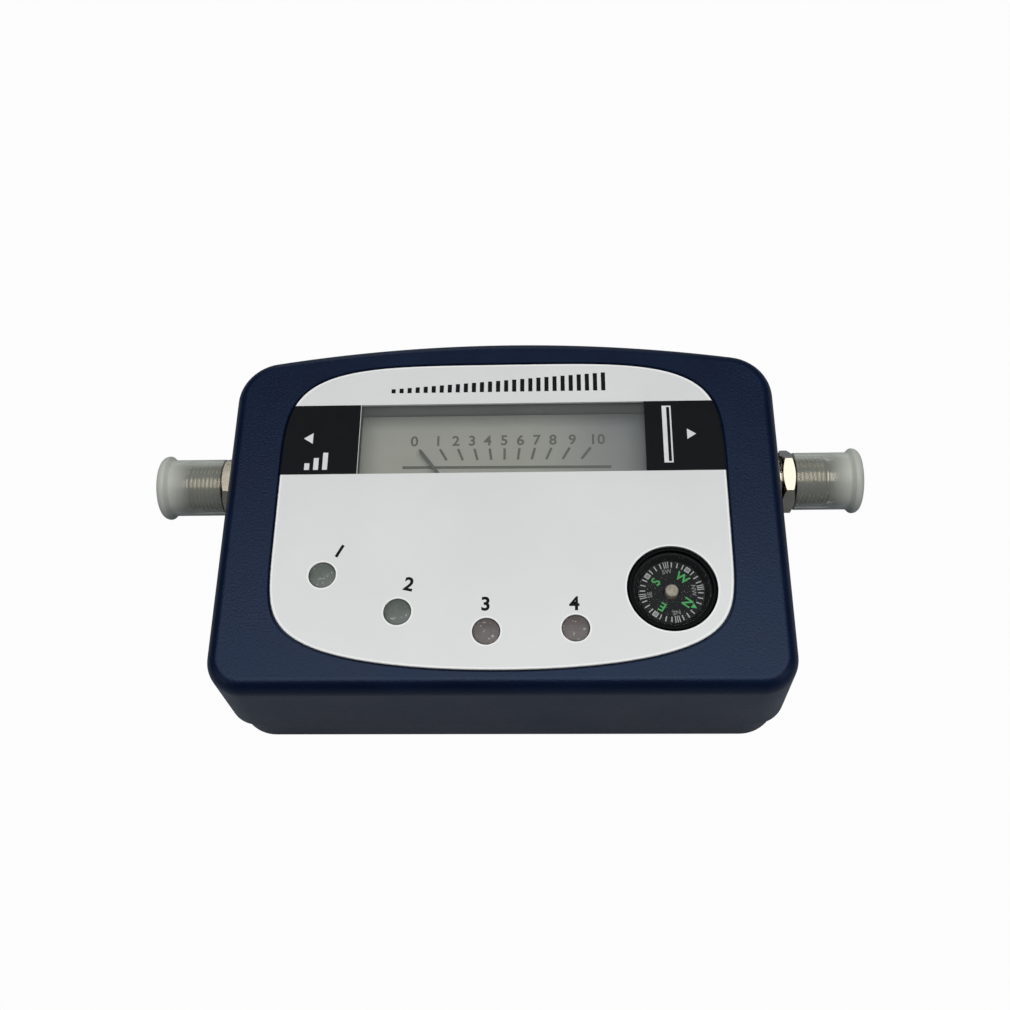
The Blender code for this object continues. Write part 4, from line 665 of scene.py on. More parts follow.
case = {
    "halfWidth": 52.3, "halfDepth": 35.9, "height": 30.0, "rearRise": 5.0,
    "rearCorner": 9.2, "frontCorner": 5.8, "topCorner": 7.0, "coverCorner": 7.6,
    "topEdge": 2.5, "edgeDrop": 3.4, "wall": 2.0, "draft": 0.4,
    "coverHeight": 9.0, "coverStep": 0.2, "coverEdge": 1.0, "floorRound": 0.5, "lip": 1.5,
    "bossInset": 9.0, "bossRadius": 3.2, "standoffRadius": 4.1, "ribThickness": 1.2,
    "coverRibHeight": 1.4, "coverRibs": (-0.44, 0.0, 0.44),
    "postRadius": 2.5, "postShares": ((-0.735, 0.0), (0.735, 0.0), (0.464, -0.80)),
    "bossHole": 1.6, "bossHoleTop": 15.0, "postHole": 1.3, "postHoleTop": 15.8, "coverHoleBase": 0.7,
    "headHole": 2.8, "headHoleFrom": 0.2, "headHoleTo": 2.8, "countersink": 0.3,
    "boardTop": 10.7,
    "edgeBreak": 0.15,      # small chamfer where the two shells part and round the openings
    "edgeSteps": 10, "ceilingSteps": 4, "coverSteps": 8, "cornerSteps": 16, "archSteps": 40,
}
faceTop = case["height"]
ceiling = faceTop - case["wall"]
bossX = case["halfWidth"] - case["bossInset"]
bossPlaces = [(x, y) for y in (case["bossInset"] - case["halfDepth"],
                               case["halfDepth"] - case["rearRise"] - case["bossInset"]) for x in (-bossX, bossX)]
postPlaces = [(case["halfWidth"] * across, case["halfDepth"] * along) for across, along in case["postShares"]]

panel = {
    "halfWidth": 41.53, "frontReach": 31.77, "rearReach": 29.71,
    "frontPowers": (2.04, 6.9), "rearPowers": (4.1, 5.5),       # across and along
    "thickness": 0.5, "bevel": 0.12, "steps": 240, "recessFloor": 29.2, "rim": 0.3,
}
window = {"halfWidth": 27.0, "halfHeight": 7.4, "y": 13.649}
windowLow, windowHigh = window["y"] - window["halfHeight"], window["y"] + window["halfHeight"]
meter = {"halfWidth": 29.2, "rearY": window["y"] + 9.6, "neckY": window["y"] - 10.2}
compass = {
    "place": (30.512, -16.972), "opening": 8.05, "height": 8.0, "north": radians(-36),
    "bowlRadius": 7.75, "bowlWall": 1.2, "bowlFloor": 1.2, "flangeRadius": 9.3, "flangeFrom": 4.5, "flangeTo": 5.7,
    "lensDepth": 0.5, "lensSteps": 8, "cardLevel": 6.0, "cardRadius": 5.95, "cardThickness": 0.3, "cardRound": 0.08,
    "hubRadius": 1.2, "hubBore": 0.6, "hubSkirt": 0.9, "hubRound": 0.35,
    "dimple": (0.55, 0.45, 0.12),           # radius at its edge and at its floor, and depth
    "rounds": {"foot": 0.4, "flange": 0.15, "brim": 0.2, "seat": 0.1, "well": 0.3},
}
lamps = {
    "places": [(-32.02, -14.017), (-18.10, -21.108), (-2.30, -24.809), (13.376, -24.310)],
    "hole": 2.5, "radius": 2.38, "crown": 30.0, "dome": 0.35, "length": 7.6, "flange": 2.8, "flangeHeight": 1.0,
    "round": 0.15, "steps": 12,
    "leg": 0.5, "legSpacing": 2.5,
    "stem": (0.7, 1.0),                     # radius, and level of its foot
    "cup": (1.1, 2.6),                      # radius, and depth of its rim under the crown
    "cupWell": (0.85, 0.5, 3.1),            # radius at the rim and at the floor, and depth of the floor
    "post": (0.7, 0.5, 3.6), "postX": 1.45, "postFoot": 0.8,        # width, thickness, how much shorter than the lamp
}
wheel = {
    "radius": 9.5, "thickness": 2.2, "ridges": 36, "ridgeDepth": 0.4, "bore": 1.8, "y": 28.2, "base": 12.7,
    "boreRound": 0.12, "edgeRound": 0.25, "sinkFrom": 1.3, "sinkTo": 1.6, "sinkDepth": 0.3,
    "ridgeShare": 0.30, "ridgeRoot": 0.3, "ridgeRound": 0.12, "ridgeTop": 0.6, "ridgeEnd": 0.15,
}
socket = {"y": 10.587, "z": 16.0, "seatX": 51.9, "seatRadius": 6.7, "hole": 5.0}


# The plan of the case drawn in by an inset: straight front and sides, and a bowed far edge
def caseOutline(inset, front=case["frontCorner"]):
    rise, half, rear, steps = case["rearRise"], case["halfWidth"], case["rearCorner"], case["cornerSteps"]
    archRadius = (half ** 2 + rise ** 2) / (2 * rise)
    archY = case["halfDepth"] - archRadius
    frontX, frontY = half - front, -case["halfDepth"] + front
    rearX = half - rear
    rearY = archY + sqrt((archRadius - rear) ** 2 - rearX ** 2)
    corner = atan2(rearY - archY, rearX)
    return [*arc((-frontX, frontY), front - inset, pi, 1.5 * pi, steps),
            *arc((frontX, frontY), front - inset, 1.5 * pi, 2 * pi, steps),
            *arc((rearX, rearY), rear - inset, 0, corner, steps),
            *arc((0, archY), archRadius - inset, corner, pi - corner, case["archSteps"])[1:-1],
            *arc((-rearX, rearY), rear - inset, pi - corner, pi, steps)]


def panelOutline(grow):
    points = []
    for i in range(panel["steps"]):
        angle = 2 * pi * i / panel["steps"]
        across, along = cos(angle), sin(angle)
        end = "rear" if along > 0 else "front"
        (wide, tall), reach = panel[end + "Powers"], panel[end + "Reach"]
        points.append(((panel["halfWidth"] + grow) * abs(across) ** (2 / wide) * (1 if across > 0 else -1),
                       (reach + grow) * abs(along) ** (2 / tall) * (1 if along > 0 else -1)))
    return points


# The even angles of a quarter circle
def quarterAngles(steps):
    return [pi / 2 * i / steps for i in range(steps + 1)]


# The round openings of the face, for the compass and the lamps
def roundOpenings(bm, low, high):
    rodsAt(bm, [compass["place"]], compass["opening"], low, high, 96)
    return rodsAt(bm, lamps["places"], lamps["hole"], low, high)


def makeFrontShell():
    height, edge, wall, draft = case["height"], case["topEdge"], case["wall"], case["draft"]
    low, small, top = case["coverHeight"], case["edgeBreak"], case["topCorner"]
    rabbetTop, rodTop = low + case["lip"] + fitGap, ceiling + wall / 2
    rings = [ringAt(caseOutline(draft + edge * (1 - sin(angle)), top), height - case["edgeDrop"] * (1 - cos(angle)))
             for angle in quarterAngles(case["edgeSteps"])]
    rings += [ringAt(caseOutline(0), low + small), ringAt(caseOutline(small), low),
              ringAt(caseOutline(wall / 2), low), ringAt(caseOutline(wall / 2), rabbetTop),
              ringAt(caseOutline(wall), rabbetTop), ringAt(caseOutline(draft + wall, top), height - edge)]
    rings += [ringAt(caseOutline(draft + wall + (edge - wall) * (1 - cos(angle)), top),
                     height - edge + (ceiling - height + edge) * sin(angle))
              for angle in quarterAngles(case["ceilingSteps"])[1:]]
    shell = newMesh("frontShellMoulding", skin(bmesh.new(), rings), "navyAbs")
    bm = rodsAt(bmesh.new(), bossPlaces, case["bossRadius"], low, rodTop)
    combine(shell, rodsAt(bm, postPlaces, case["postRadius"], case["boardTop"] + fitGap, rodTop), "UNION")
    ribBase = case["boardTop"] + fitGap + wall
    ribHeight = rodTop - ribBase
    length = case["bossInset"] - wall / 2 - case["bossRadius"] / 2
    middle = case["halfWidth"] - wall / 2 - draft - length / 2
    bm = bmesh.new()
    for x, y in bossPlaces:
        block(bm, (length, case["ribThickness"], ribHeight), (middle if x > 0 else -middle, y, ribBase + ribHeight / 2))
    combine(shell, bm, "UNION")

    combine(shell, skin(bmesh.new(), [
        ringAt(panelOutline(fitGap), panel["recessFloor"]), ringAt(panelOutline(fitGap), height - small),
        ringAt(panelOutline(fitGap + small + overrun), height + overrun)]))
    half = meter["halfWidth"] + fitGap
    bm = prism(bmesh.new(), rectangle(-half, half, meter["neckY"] - fitGap, meter["rearY"] + fitGap),
               ceiling - overrun, height + overrun)
    combine(shell, roundOpenings(bm, ceiling - overrun, height + overrun))
    bm = rodsAt(bmesh.new(), bossPlaces, case["bossHole"], low - overrun, case["bossHoleTop"], 32)
    combine(shell, rodsAt(bm, postPlaces, case["postHole"], case["boardTop"], case["postHoleTop"], 32))
    middle = (socket["y"], socket["z"])
    for radius, start, steps in ((socket["hole"], socket["seatX"] - wall - overrun, 64),
                                 (socket["seatRadius"], socket["seatX"], 96)):
        bm = bmesh.new()
        for side in (-1, 1):
            rod(bm, radius, (side * start, *middle), (side * (case["halfWidth"] + overrun), *middle), steps)
        combine(shell, bm)
    innerY = case["halfDepth"] - wall - draft - overrun
    slotHalf = sqrt(wheel["radius"] ** 2 - (innerY - wheel["y"]) ** 2) + fitGap
    slotLow, slotHigh = wheel["base"] - fitGap, wheel["base"] + wheel["thickness"] + fitGap
    combine(shell, block(bmesh.new(), (2 * slotHalf, case["halfDepth"] + overrun - innerY, slotHigh - slotLow),
                         (0, (innerY + case["halfDepth"] + overrun) / 2, (slotLow + slotHigh) / 2)))
    finishPiece(shell, "case", "navy_plastic", "front_shell")


def makeRearCover():
    outer, corner, wall, edge = case["coverStep"], case["coverCorner"], case["wall"], case["coverEdge"]
    rim, lipTop, small = case["coverHeight"] - fitGap, case["coverHeight"] + case["lip"], case["edgeBreak"]
    lip, inner, bend = wall / 2 + fitGap, outer + wall, case["floorRound"]
    rings = [ringAt(caseOutline(outer + edge * (1 - sin(angle)), corner), edge * (1 - cos(angle)))
             for angle in quarterAngles(case["coverSteps"])]
    rings += [ringAt(caseOutline(outer, corner), rim - small), ringAt(caseOutline(outer + small, corner), rim),
              ringAt(caseOutline(lip), rim), ringAt(caseOutline(lip), lipTop), ringAt(caseOutline(inner), lipTop),
              ringAt(caseOutline(inner, corner), wall + bend), ringAt(caseOutline(inner + bend, corner), wall)]
    cover = newMesh("rearCoverMoulding", skin(bmesh.new(), rings), "navyAbs")
    combine(cover, rodsAt(bmesh.new(), bossPlaces, case["standoffRadius"], wall / 2, rim), "UNION")
    ribLength = 2 * (bossX - case["standoffRadius"] - wall)
    ribHeight = wall / 2 + case["coverRibHeight"]
    bm = bmesh.new()
    for share in case["coverRibs"]:
        block(bm, (ribLength, case["ribThickness"], ribHeight),
              (0, case["halfDepth"] * share, wall / 2 + ribHeight / 2))
    combine(cover, bm, "UNION")
    hole, sink = case["headHole"], case["countersink"]
    bm = bmesh.new()
    for x, y in bossPlaces:
        rod(bm, hole + overrun + sink, (x, y, -overrun), (x, y, sink), endRadius=hole)
        rod(bm, hole, (x, y, case["headHoleFrom"]), (x, y, case["headHoleTo"]))
    combine(cover, bm)
    combine(cover, rodsAt(bmesh.new(), bossPlaces, case["bossHole"], case["coverHoleBase"], rim + overrun, 32))
    finishPiece(cover, "case", "navy_plastic", "rear_cover")


makeFrontShell()
makeRearCover()
print("case is made")


# Screws: one pattern of each size, set on the places of the bosses and posts

caseScrew = {"head": 2.5, "headHeight": 1.8, "shank": 1.3, "length": 11.5, "level": 2.5, "pitch": 1.2}
boardScrew = {"head": 1.9, "headHeight": 1.4, "shank": 1.0, "length": 6.0, "level": 8.8, "pitch": 0.9}
screwShares = {     # of the head's height, the shank, the head's radius and the pitch, in that order
    "headRound": 0.55, "root": 0.82, "thread": 0.8, "ridge": 0.2, "reach": 1.1, "slit": 0.26, "ridgeHalf": 0.22,
}
screwEdge, screwSeed = 0.1, 7


# A thread or a spring that winds about Z from a level
def winding(name, finish, level, **values):
    coil = runTree(newMesh(name, bmesh.new()), windingTree, finish, Sides=4, **values)
    coil.data.transform(Matrix.Translation((0, 0, level)))
    return coil


def makeScrews(name, node, size, places):
    head, tall, shank, length = size["head"], size["headHeight"], size["shank"], size["length"]
    root, rise, thread = shank * screwShares["root"], length - 2 * shank, shank * screwShares["thread"]
    pattern = newMesh("screwPattern", turned(bmesh.new(), rounded([
        (0, -tall), (head, -tall, tall * screwShares["headRound"]), (head, 0, screwEdge), (root, 0),
        (root, length - shank), (0, length)], endless=False), 40), "zincSteel")
    reach, slit = head * screwShares["reach"], head * screwShares["slit"]
    bm = bmesh.new()
    for across in ((reach, slit), (slit, reach)):
        block(bm, (*across, tall), (0, 0, -tall))
    combine(pattern, bm)
    ridge = winding("threadPattern", "zincSteel", shank / 2, Turns=rise / size["pitch"], Steps=20, Inner=thread,
                    Outer=thread, Rise=rise, Width=shank * screwShares["ridge"],
                    Height=size["pitch"] * screwShares["ridgeHalf"])
    screws = scatter(name, joinPieces(pattern, ridge), "zincSteel", places, size["level"], pi / 2, screwSeed)
    finishPiece(screws, "case", "steel", *[f"{node}_{i + 1}" for i in range(len(places))])


makeScrews("caseScrews", "case_screw", caseScrew, bossPlaces)
makeScrews("boardScrews", "board_screw", boardScrew, postPlaces)
print("screws are made")


# Face panel and its print

prints = {
    "proud": 0.025,             # mm that a layer of ink stands on the sheet
    "fieldLap": 0.015, "fieldDrop": 0.30, "fieldInset": 0.01,       # the black fields run down the sheet's edge
    "triangles": (((-37.6, 13.88), (-35.85, 12.73), (-35.85, 15.03)), ((36.5, 13.88), (34.8, 14.98), (34.8, 12.78))),
    "marks": ((-36.6, 1.4), (-34.9, 2.5), (-33.2, 3.6)),        # three rising bars near the left socket
    "markLow": 7.18, "markWidth": 0.95,
    "signBox": (30.3, 32.0, 7.88, 19.98), "signLine": 0.28,     # left, right, low, high
    "wedgeFrom": -21.0, "wedgeTo": 19.4, "wedgeLow": 23.58, "wedgeHigh": 27.58, "wedgeBars": 27, "wedgeWidth": 0.8,
    "wedgeLeast": 0.9,
    "labels": (("1", -29.15, -9.38, -28), ("2", -16.25, -15.88, -13),      # middle, and turn in degrees
               ("3", -2.46, -19.72, 0), ("4", 13.2, -19.72, 0)),
    "labelSize": 3.5, "labelWeight": 0.10, "letterSteps": 5, "letterSpacing": 1.05,
}


def makePanel():
    (frontAcross, frontAlong), (rearAcross, rearAlong) = panel["frontPowers"], panel["rearPowers"]
    sheet = runTree(newMesh("facePanelSheet", bmesh.new()), panelTree, "silverSheet", Steps=panel["steps"],
                    HalfWidth=panel["halfWidth"], FrontReach=panel["frontReach"], RearReach=panel["rearReach"],
                    FrontAcross=frontAcross, FrontAlong=frontAlong, RearAcross=rearAcross, RearAlong=rearAlong,
                    Base=faceTop - panel["thickness"], Thickness=panel["thickness"], Bevel=panel["bevel"])
    half = window["halfWidth"]
    bm = prism(bmesh.new(), rectangle(-half, half, windowLow, windowHigh), ceiling, faceTop + overrun)
    combine(sheet, roundOpenings(bm, ceiling, faceTop + overrun))
    finishPiece(sheet, "case", "silver_sheet", "face_panel")


# Painted highlights: thin bright lines laid along the sheet's outline and round the openings, where its edges catch the
# light
def makeRims():
    base, top, wide = faceTop - panel["bevel"], faceTop + prints["proud"] / 3, panel["rim"]
    bm = band(bmesh.new(), panelOutline(-panel["bevel"]), panelOutline(-panel["bevel"] - wide), base, top)
    # a painted highlight at the window's left end stands for its cut edge catching the light
    cut, proud = -window["halfWidth"], faceTop + 1.5 * prints["proud"]      # the window's left end shows its cut edge
    prism(bm, rectangle(cut - wide / 4, cut, windowLow, windowHigh), base, proud)
    pieces = [newMesh("sheetRims", bm, "bareEdge")]
    for radius, (x, y) in [(compass["opening"], compass["place"])] + [(lamps["hole"], at) for at in lamps["places"]]:
        bm = turned(bmesh.new(), [(radius, base), (radius + wide, base), (radius + wide, top), (radius, top)], 96,
                    endless=True)
        bmesh.ops.translate(bm, verts=bm.verts, vec=(x, y, 0))
        pieces.append(newMesh("openingRim", bm, "bareEdge"))
    finishPiece(joinPieces(*pieces), "case", "silver_sheet")


# A part of the face beside the window, out to the edge of the panel
def fieldOutline(grow, side, innerX, steps=24):
    across, along = panel["rearPowers"]
    points = [(side * innerX, windowHigh), (side * innerX, windowLow)]
    for i in range(steps + 1):
        y = windowLow + (windowHigh - windowLow) * i / steps
        reach = (1 - (y / (panel["rearReach"] + grow)) ** along) ** (1 / across)
        points.append((side * (panel["halfWidth"] + grow) * reach, y))
    return points


def makeFields():
    lap, inset = prints["fieldLap"], prints["fieldInset"]
    bm = bmesh.new()
    for side in (-1, 1):
        skin(bm, [ringAt(fieldOutline(grow, side, window["halfWidth"] - inset), height) for grow, height in (
            (lap, faceTop - prints["fieldDrop"]), (lap, faceTop - panel["bevel"]),
            (-panel["bevel"] + inset, faceTop + prints["proud"]))])
    finishPiece(newMesh("blackFields", bm, "blackInk"), "case", "black_plastic")


# Upright bars that stand on one line, each with its middle and its height
def drawBars(bm, bars, width, low, base, top):
    for x, tall in bars:
        prism(bm, rectangle(x - width / 2, x + width / 2, low, low + tall), base, top)
    return bm


def makeWhitePrint():
    base, top = faceTop + prints["proud"] / 2, faceTop + 2 * prints["proud"]
    bm = bmesh.new()
    for corners in prints["triangles"]:
        prism(bm, corners, base, top)
    drawBars(bm, prints["marks"], prints["markWidth"], prints["markLow"], base, top)
    left, right, low, high = prints["signBox"]
    line = prints["signLine"]
    band(bm, rectangle(left, right, low, high), rectangle(left + 3 * line, right - line, low + line, high - line),
         base, top)
    finishPiece(newMesh("whitePrint", bm, "whiteInk"), "case", "white_plastic")


# Words and numerals as thin closed solids: each entry is what it says, its middle and its turn in degrees
def lettering(name, entries, size, base, thickness, finish, weight):
    bm = bmesh.new()
    for words, x, y, turn in entries:
        data = bpy.data.curves.new("letters", "FONT")
        data.body, data.size, data.offset = words, size, weight
        data.align_x, data.align_y, data.extrude = "CENTER", "CENTER", thickness / 2
        data.resolution_u, data.space_character = prints["letterSteps"], prints["letterSpacing"]
        text = addObject("letters", data)
        mesh = plainMesh(text)
        drop(text)
        heights = [v.co.y for v in mesh.vertices]
        mesh.transform(Matrix.Translation((x, y, base + thickness / 2)) @ Matrix.Rotation(radians(turn), 4, "Z")
                       @ Matrix.Translation((0, -(min(heights) + max(heights)) / 2, 0)))
        bm.from_mesh(mesh)
    for face in bm.faces:
        face.material_index = 0
    return newMesh(name, bm, finish)


def makeBlackPrint():
    base, thick = faceTop - prints["proud"], 2 * prints["proud"]
    labels = lettering("labelPrint", prints["labels"], prints["labelSize"], base, thick, "blackInk",
                       prints["labelWeight"])
    last, least = prints["wedgeBars"] - 1, prints["wedgeLeast"]
    pitch = (prints["wedgeTo"] - prints["wedgeFrom"]) / last
    bars = [(prints["wedgeFrom"] + pitch * i, least + (prints["wedgeHigh"] - prints["wedgeLow"] - least) * i / last)
            for i in range(prints["wedgeBars"])]
    bm = drawBars(bmesh.new(), bars, prints["wedgeWidth"], prints["wedgeLow"], base, base + thick)
    finishPiece(joinPieces(labels, newMesh("wedgePrint", bm, "blackInk")), "case", "black_plastic")


makePanel()
makeRims()
makeFields()
makeWhitePrint()
makeBlackPrint()
print("face is made")


# Scale of the level meter

scale = {
    "top": 24.0, "proud": 0.03, "centre": (0.3, -8.22), "tickLow": 11.98, "tickHigh": 14.45, "tickWidth": 0.48,
    "step": radians(7.25), "first": radians(29.0), "ticks": 10,
    "bar": ((-19.4, 10.51), (20.78, 10.21)), "barWidth": 0.58,
    "numeralX": (-17.3, -12.65, -9.2, -6.03, -3.0, 0.2, 3.35, 6.5, 9.65, 13.4, 18.2), "numeralY": 16.23,
    "numeralSize": 3.0, "numeralWeight": 0.06,
}


def makeScale():
    cx, cy = scale["centre"]
    base, top = scale["top"] - scale["proud"] / 2, scale["top"] + scale["proud"]
    half, thick = scale["tickWidth"] / 2, scale["barWidth"] / 2
    ticks = newMesh("scaleMarks", prism(bmesh.new(), rectangle(-half, half, scale["tickLow"] - cy,
                                                               scale["tickHigh"] - cy), base, top), "greyInk")
    runTree(ticks, roundTree, "greyInk", Count=scale["ticks"], First=scale["first"], Step=-scale["step"],
            Group=scale["ticks"], Jump=0.0, Straighten=1.0)
    ticks.data.transform(Matrix.Translation((cx, cy, 0)))
    (x0, y0), (x1, y1) = scale["bar"]
    bar = newMesh("scaleBar", prism(bmesh.new(), [(x0, y0 - thick), (x1, y1 - thick), (x1, y1 + thick),
                                                  (x0, y0 + thick)], base, top), "greyInk")
    entries = [(str(i), x, scale["numeralY"], 0) for i, x in enumerate(scale["numeralX"])]
    numerals = lettering("scaleNumerals", entries, scale["numeralSize"], base, top - base, "greyInk",
                         scale["numeralWeight"])
    finishPiece(joinPieces(ticks, bar, numerals), "case", "black_plastic")


makeScale()


# Hair spring of the movement

spring = {"turns": 3.0, "inner": 0.98, "outer": 3.3, "width": 0.13, "height": 0.34}


def makeSpring():
    low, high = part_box("hair_spring")
    yokeLow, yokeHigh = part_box("meter_yoke")
    middle = toFrame.inverted() @ ((yokeLow + yokeHigh) / 2)
    coil = winding("hairSpringCoil", "brass", 0, Turns=spring["turns"], Steps=40, Inner=spring["inner"],
                   Outer=spring["outer"], Rise=0.0, Width=spring["width"], Height=spring["height"])
    finishPiece(coil, "case", "brass", "hair_spring",
                place=Matrix.Translation((middle.x, middle.y, (low.z + high.z) / 2 / mm)))


makeSpring()
print("meter is made")


# Compass

dial = {
    "tickIn": 4.68, "tickOut": 5.66, "tickWidth": 0.20, "tickStep": radians(11.25),
    "fineIn": 0.1, "fineOut": 0.15,         # how much further than the others the fine marks reach
    "fineWidth": 0.15, "fineStep": radians(4.0),
    "boxIn": 4.65, "boxOut": 5.6, "boxWidth": 0.95, "boxLine": 0.17, "fillRise": 0.012,
    "arrow": (4.35, 5.35, 1.0), "proud": 0.03,
    "letters": {"radius": 3.35, "size": 2.3, "weight": 0.03,
                "words": (("N", -37), ("W", 53), ("S", 144.5), ("E", -121.6))},
    "smallLetters": {"radius": 3.95, "size": 1.15, "weight": 0.02,
                     "words": (("NW", 4), ("SW", 100), ("SE", 188), ("NE", -80))},
}
compassSpot = Matrix.Translation((*compass["place"], case["height"] - compass["height"]))
heading = Matrix.Rotation(compass["north"], 4, "Z")


def makeCompass():
    outer, inner, height = compass["bowlRadius"], compass["bowlRadius"] - compass["bowlWall"], compass["height"]
    seat, ledge = height - compass["lensDepth"] - fitGap, inner + compass["bowlWall"] / 2
    flange, low, high, floor = (compass[key] for key in ("flangeRadius", "flangeFrom", "flangeTo", "bowlFloor"))
    rounds = compass["rounds"]
    bowl = rounded([(0, 0), (outer, 0, rounds["foot"]), (outer, low), (flange, low, rounds["flange"]),
                    (flange, high, rounds["flange"]), (outer, high), (outer, height, rounds["brim"]),
                    (ledge, height, rounds["seat"]), (ledge, seat), (inner, seat, rounds["seat"]),
                    (inner, floor, rounds["well"]), (0, floor)], endless=False)
    edge, lensBase, steps = ledge - fitGap, seat + fitGap / 2, compass["lensSteps"]
    radii = [edge * (1 - i / steps) for i in range(steps + 1)]
    lens = [(0, lensBase), (edge, lensBase)] + [(r, height - fitGap * (r / edge) ** 2) for r in radii]
    level, radius, soft = compass["cardLevel"], compass["cardRadius"], compass["cardRound"]
    hub, bore, under = compass["hubRadius"], compass["hubBore"], compass["cardLevel"] - compass["hubSkirt"]
    cardBase, cardIn, hubTop = level - compass["cardThickness"], hub + fitGap, seat - fitGap
    card = rounded([(cardIn, cardBase), (radius, cardBase, soft), (radius, level, soft), (cardIn, level)])
    dimpleEdge, dimple, depth = compass["dimple"]
    cone = [(0, level + fitGap), (bore, level + fitGap - bore), (bore, under), (hub, under),
            (hub, hubTop, compass["hubRound"]), (dimpleEdge, hubTop), (dimple, hubTop - depth), (0, hubTop - depth)]
    for name, profile, steps, endless, look, body, slot, node in (
            ("compassBowlMoulding", bowl, 128, False, "blackStyrene", "case", "black_plastic", "compass_bowl"),
            ("compassLensMoulding", lens, 96, False, "clearAcrylic", "case", "clear_plastic", "compass_lens"),
            ("compassCardDisc", card, 128, True, "cardFoil", "compass_dial", "black_plastic", "compass_card"),
            ("compassHubCap", rounded(cone, endless=False), 64, False, "paleResin", "compass_dial", "brass",
             "compass_hub")):
        piece = newMesh(name, turned(bmesh.new(), profile, steps, endless), look)
        finishPiece(piece, body, slot, node, place=compassSpot if body == "case" else compassSpot @ heading)


# Letters that stand round the card with their feet towards its middle
def aroundCard(name, group, finish, low, high):
    entries = [(words, group["radius"] * cos(radians(angle)), group["radius"] * sin(radians(angle)), angle - 90)
               for words, angle in group["words"]]
    return lettering(name, entries, group["size"], low, high - low, finish, group["weight"])


# Marks and boxes are drawn on +X, repeated round the card in groups of three, and turned with its north
def makeDialPrint():
    low, high = compass["cardLevel"] - dial["proud"] / 2, compass["cardLevel"] + dial["proud"]

    def mark(name, finish, inner, outer, width, rise=0.0, **ring):
        shape = prism(bmesh.new(), rectangle(inner, outer, -width / 2, width / 2), low, high + rise)
        return runTree(newMesh(name, shape, finish), roundTree, finish, Group=3, Straighten=0.0, **ring)

    quarter, step, fine, line = pi / 2, dial["tickStep"], dial["fineStep"], dial["boxLine"]
    singles = mark("dialMarks", "paleInk", dial["tickIn"], dial["tickOut"], dial["tickWidth"],
                   Count=24, First=step, Step=step, Jump=step)
    triples = mark("dialTriples", "paleInk", dial["tickIn"] - dial["fineIn"], dial["tickOut"] + dial["fineOut"],
                   dial["fineWidth"], Count=12, First=pi / 4 - fine, Step=fine, Jump=quarter - 3 * fine)
    boxes = mark("dialBoxes", "paleInk", dial["boxIn"], dial["boxOut"], dial["boxWidth"],
                 Count=3, First=quarter, Step=quarter, Jump=0.0)
    finishPiece(joinPieces(singles, triples, boxes), "compass_dial", "white_plastic", place=compassSpot @ heading)
    fills = mark("dialBoxFills", "dimInk", dial["boxIn"] + line, dial["boxOut"] - line, dial["boxWidth"] - 2 * line,
                 dial["fillRise"], Count=3, First=quarter, Step=quarter, Jump=0.0)
    fills.data.transform(heading)
    small = aroundCard("dialSmallLetters", dial["smallLetters"], "dimInk", low, high)
    finishPiece(joinPieces(fills, small), "compass_dial", "white_plastic", place=compassSpot)

    letters = aroundCard("dialLetters", dial["letters"], "greenInk", low, high)
    near, far, width = dial["arrow"]
    north = compass["north"]
    corners = [(x * cos(north) - y * sin(north), x * sin(north) + y * cos(north))
               for x, y in ((near, -width / 2), (far, 0), (near, width / 2))]
    arrow = newMesh("dialArrow", prism(bmesh.new(), corners, low, high), "greenInk")
    finishPiece(joinPieces(letters, arrow), "compass_dial", "white_plastic", place=compassSpot)


makeCompass()
makeDialPrint()
print("compass is made")


# Lamps: a smoky dome over a lead frame, whose cup and post show faintly through it

def makeLamps():
    radius, tall, flange, low, soft = (lamps[key] for key in ("radius", "length", "flange", "flangeHeight", "round"))
    base, step = lamps["crown"] - tall, pi / 2 / lamps["steps"]
    profile = rounded([(0, 0), (flange, 0, soft), (flange, low, soft), (radius, low)], endless=False)
    profile += [(radius * cos(step * i), tall + lamps["dome"] * (sin(step * i) - 1)) for i in range(lamps["steps"])]
    profile.append((0, tall))
    for number, (x, y) in enumerate(lamps["places"], 1):
        finish = "smokyEpoxyGreen" if number < 3 else "smokyEpoxyMauve"
        finishPiece(newMesh(f"lampDome{number}", turned(bmesh.new(), profile, 48), finish), "case", "lamp_resin",
                    f"lamp_{number}", place=Matrix.Translation((x, y, base)))
    foot, leg = case["boardTop"] + fitGap - base, lamps["leg"]
    bm = bmesh.new()
    for side in (-1, 1):
        block(bm, (leg, leg, low - foot), (side * lamps["legSpacing"] / 2, 0, (low + foot) / 2))
    (stem, start), (cup, rim), (well, floor, depth) = lamps["stem"], lamps["cup"], lamps["cupWell"]
    turned(bm, [(0, start), (stem, start), (cup, tall - rim), (well, tall - rim), (floor, tall - depth),
                (0, tall - depth)], 32)
    wide, thick, short = lamps["post"]
    block(bm, (wide, thick, tall - short), (lamps["postX"], 0, (tall - short) / 2 + lamps["postFoot"]))
    leads = scatter("lampLeads", newMesh("leadPattern", bm, "leadStrip"), "leadStrip", lamps["places"], base, 0.0, 1)
    finishPiece(leads, "case", "lamp_resin")


makeLamps()
print("lamps are made")


# Thumbwheel in the far wall

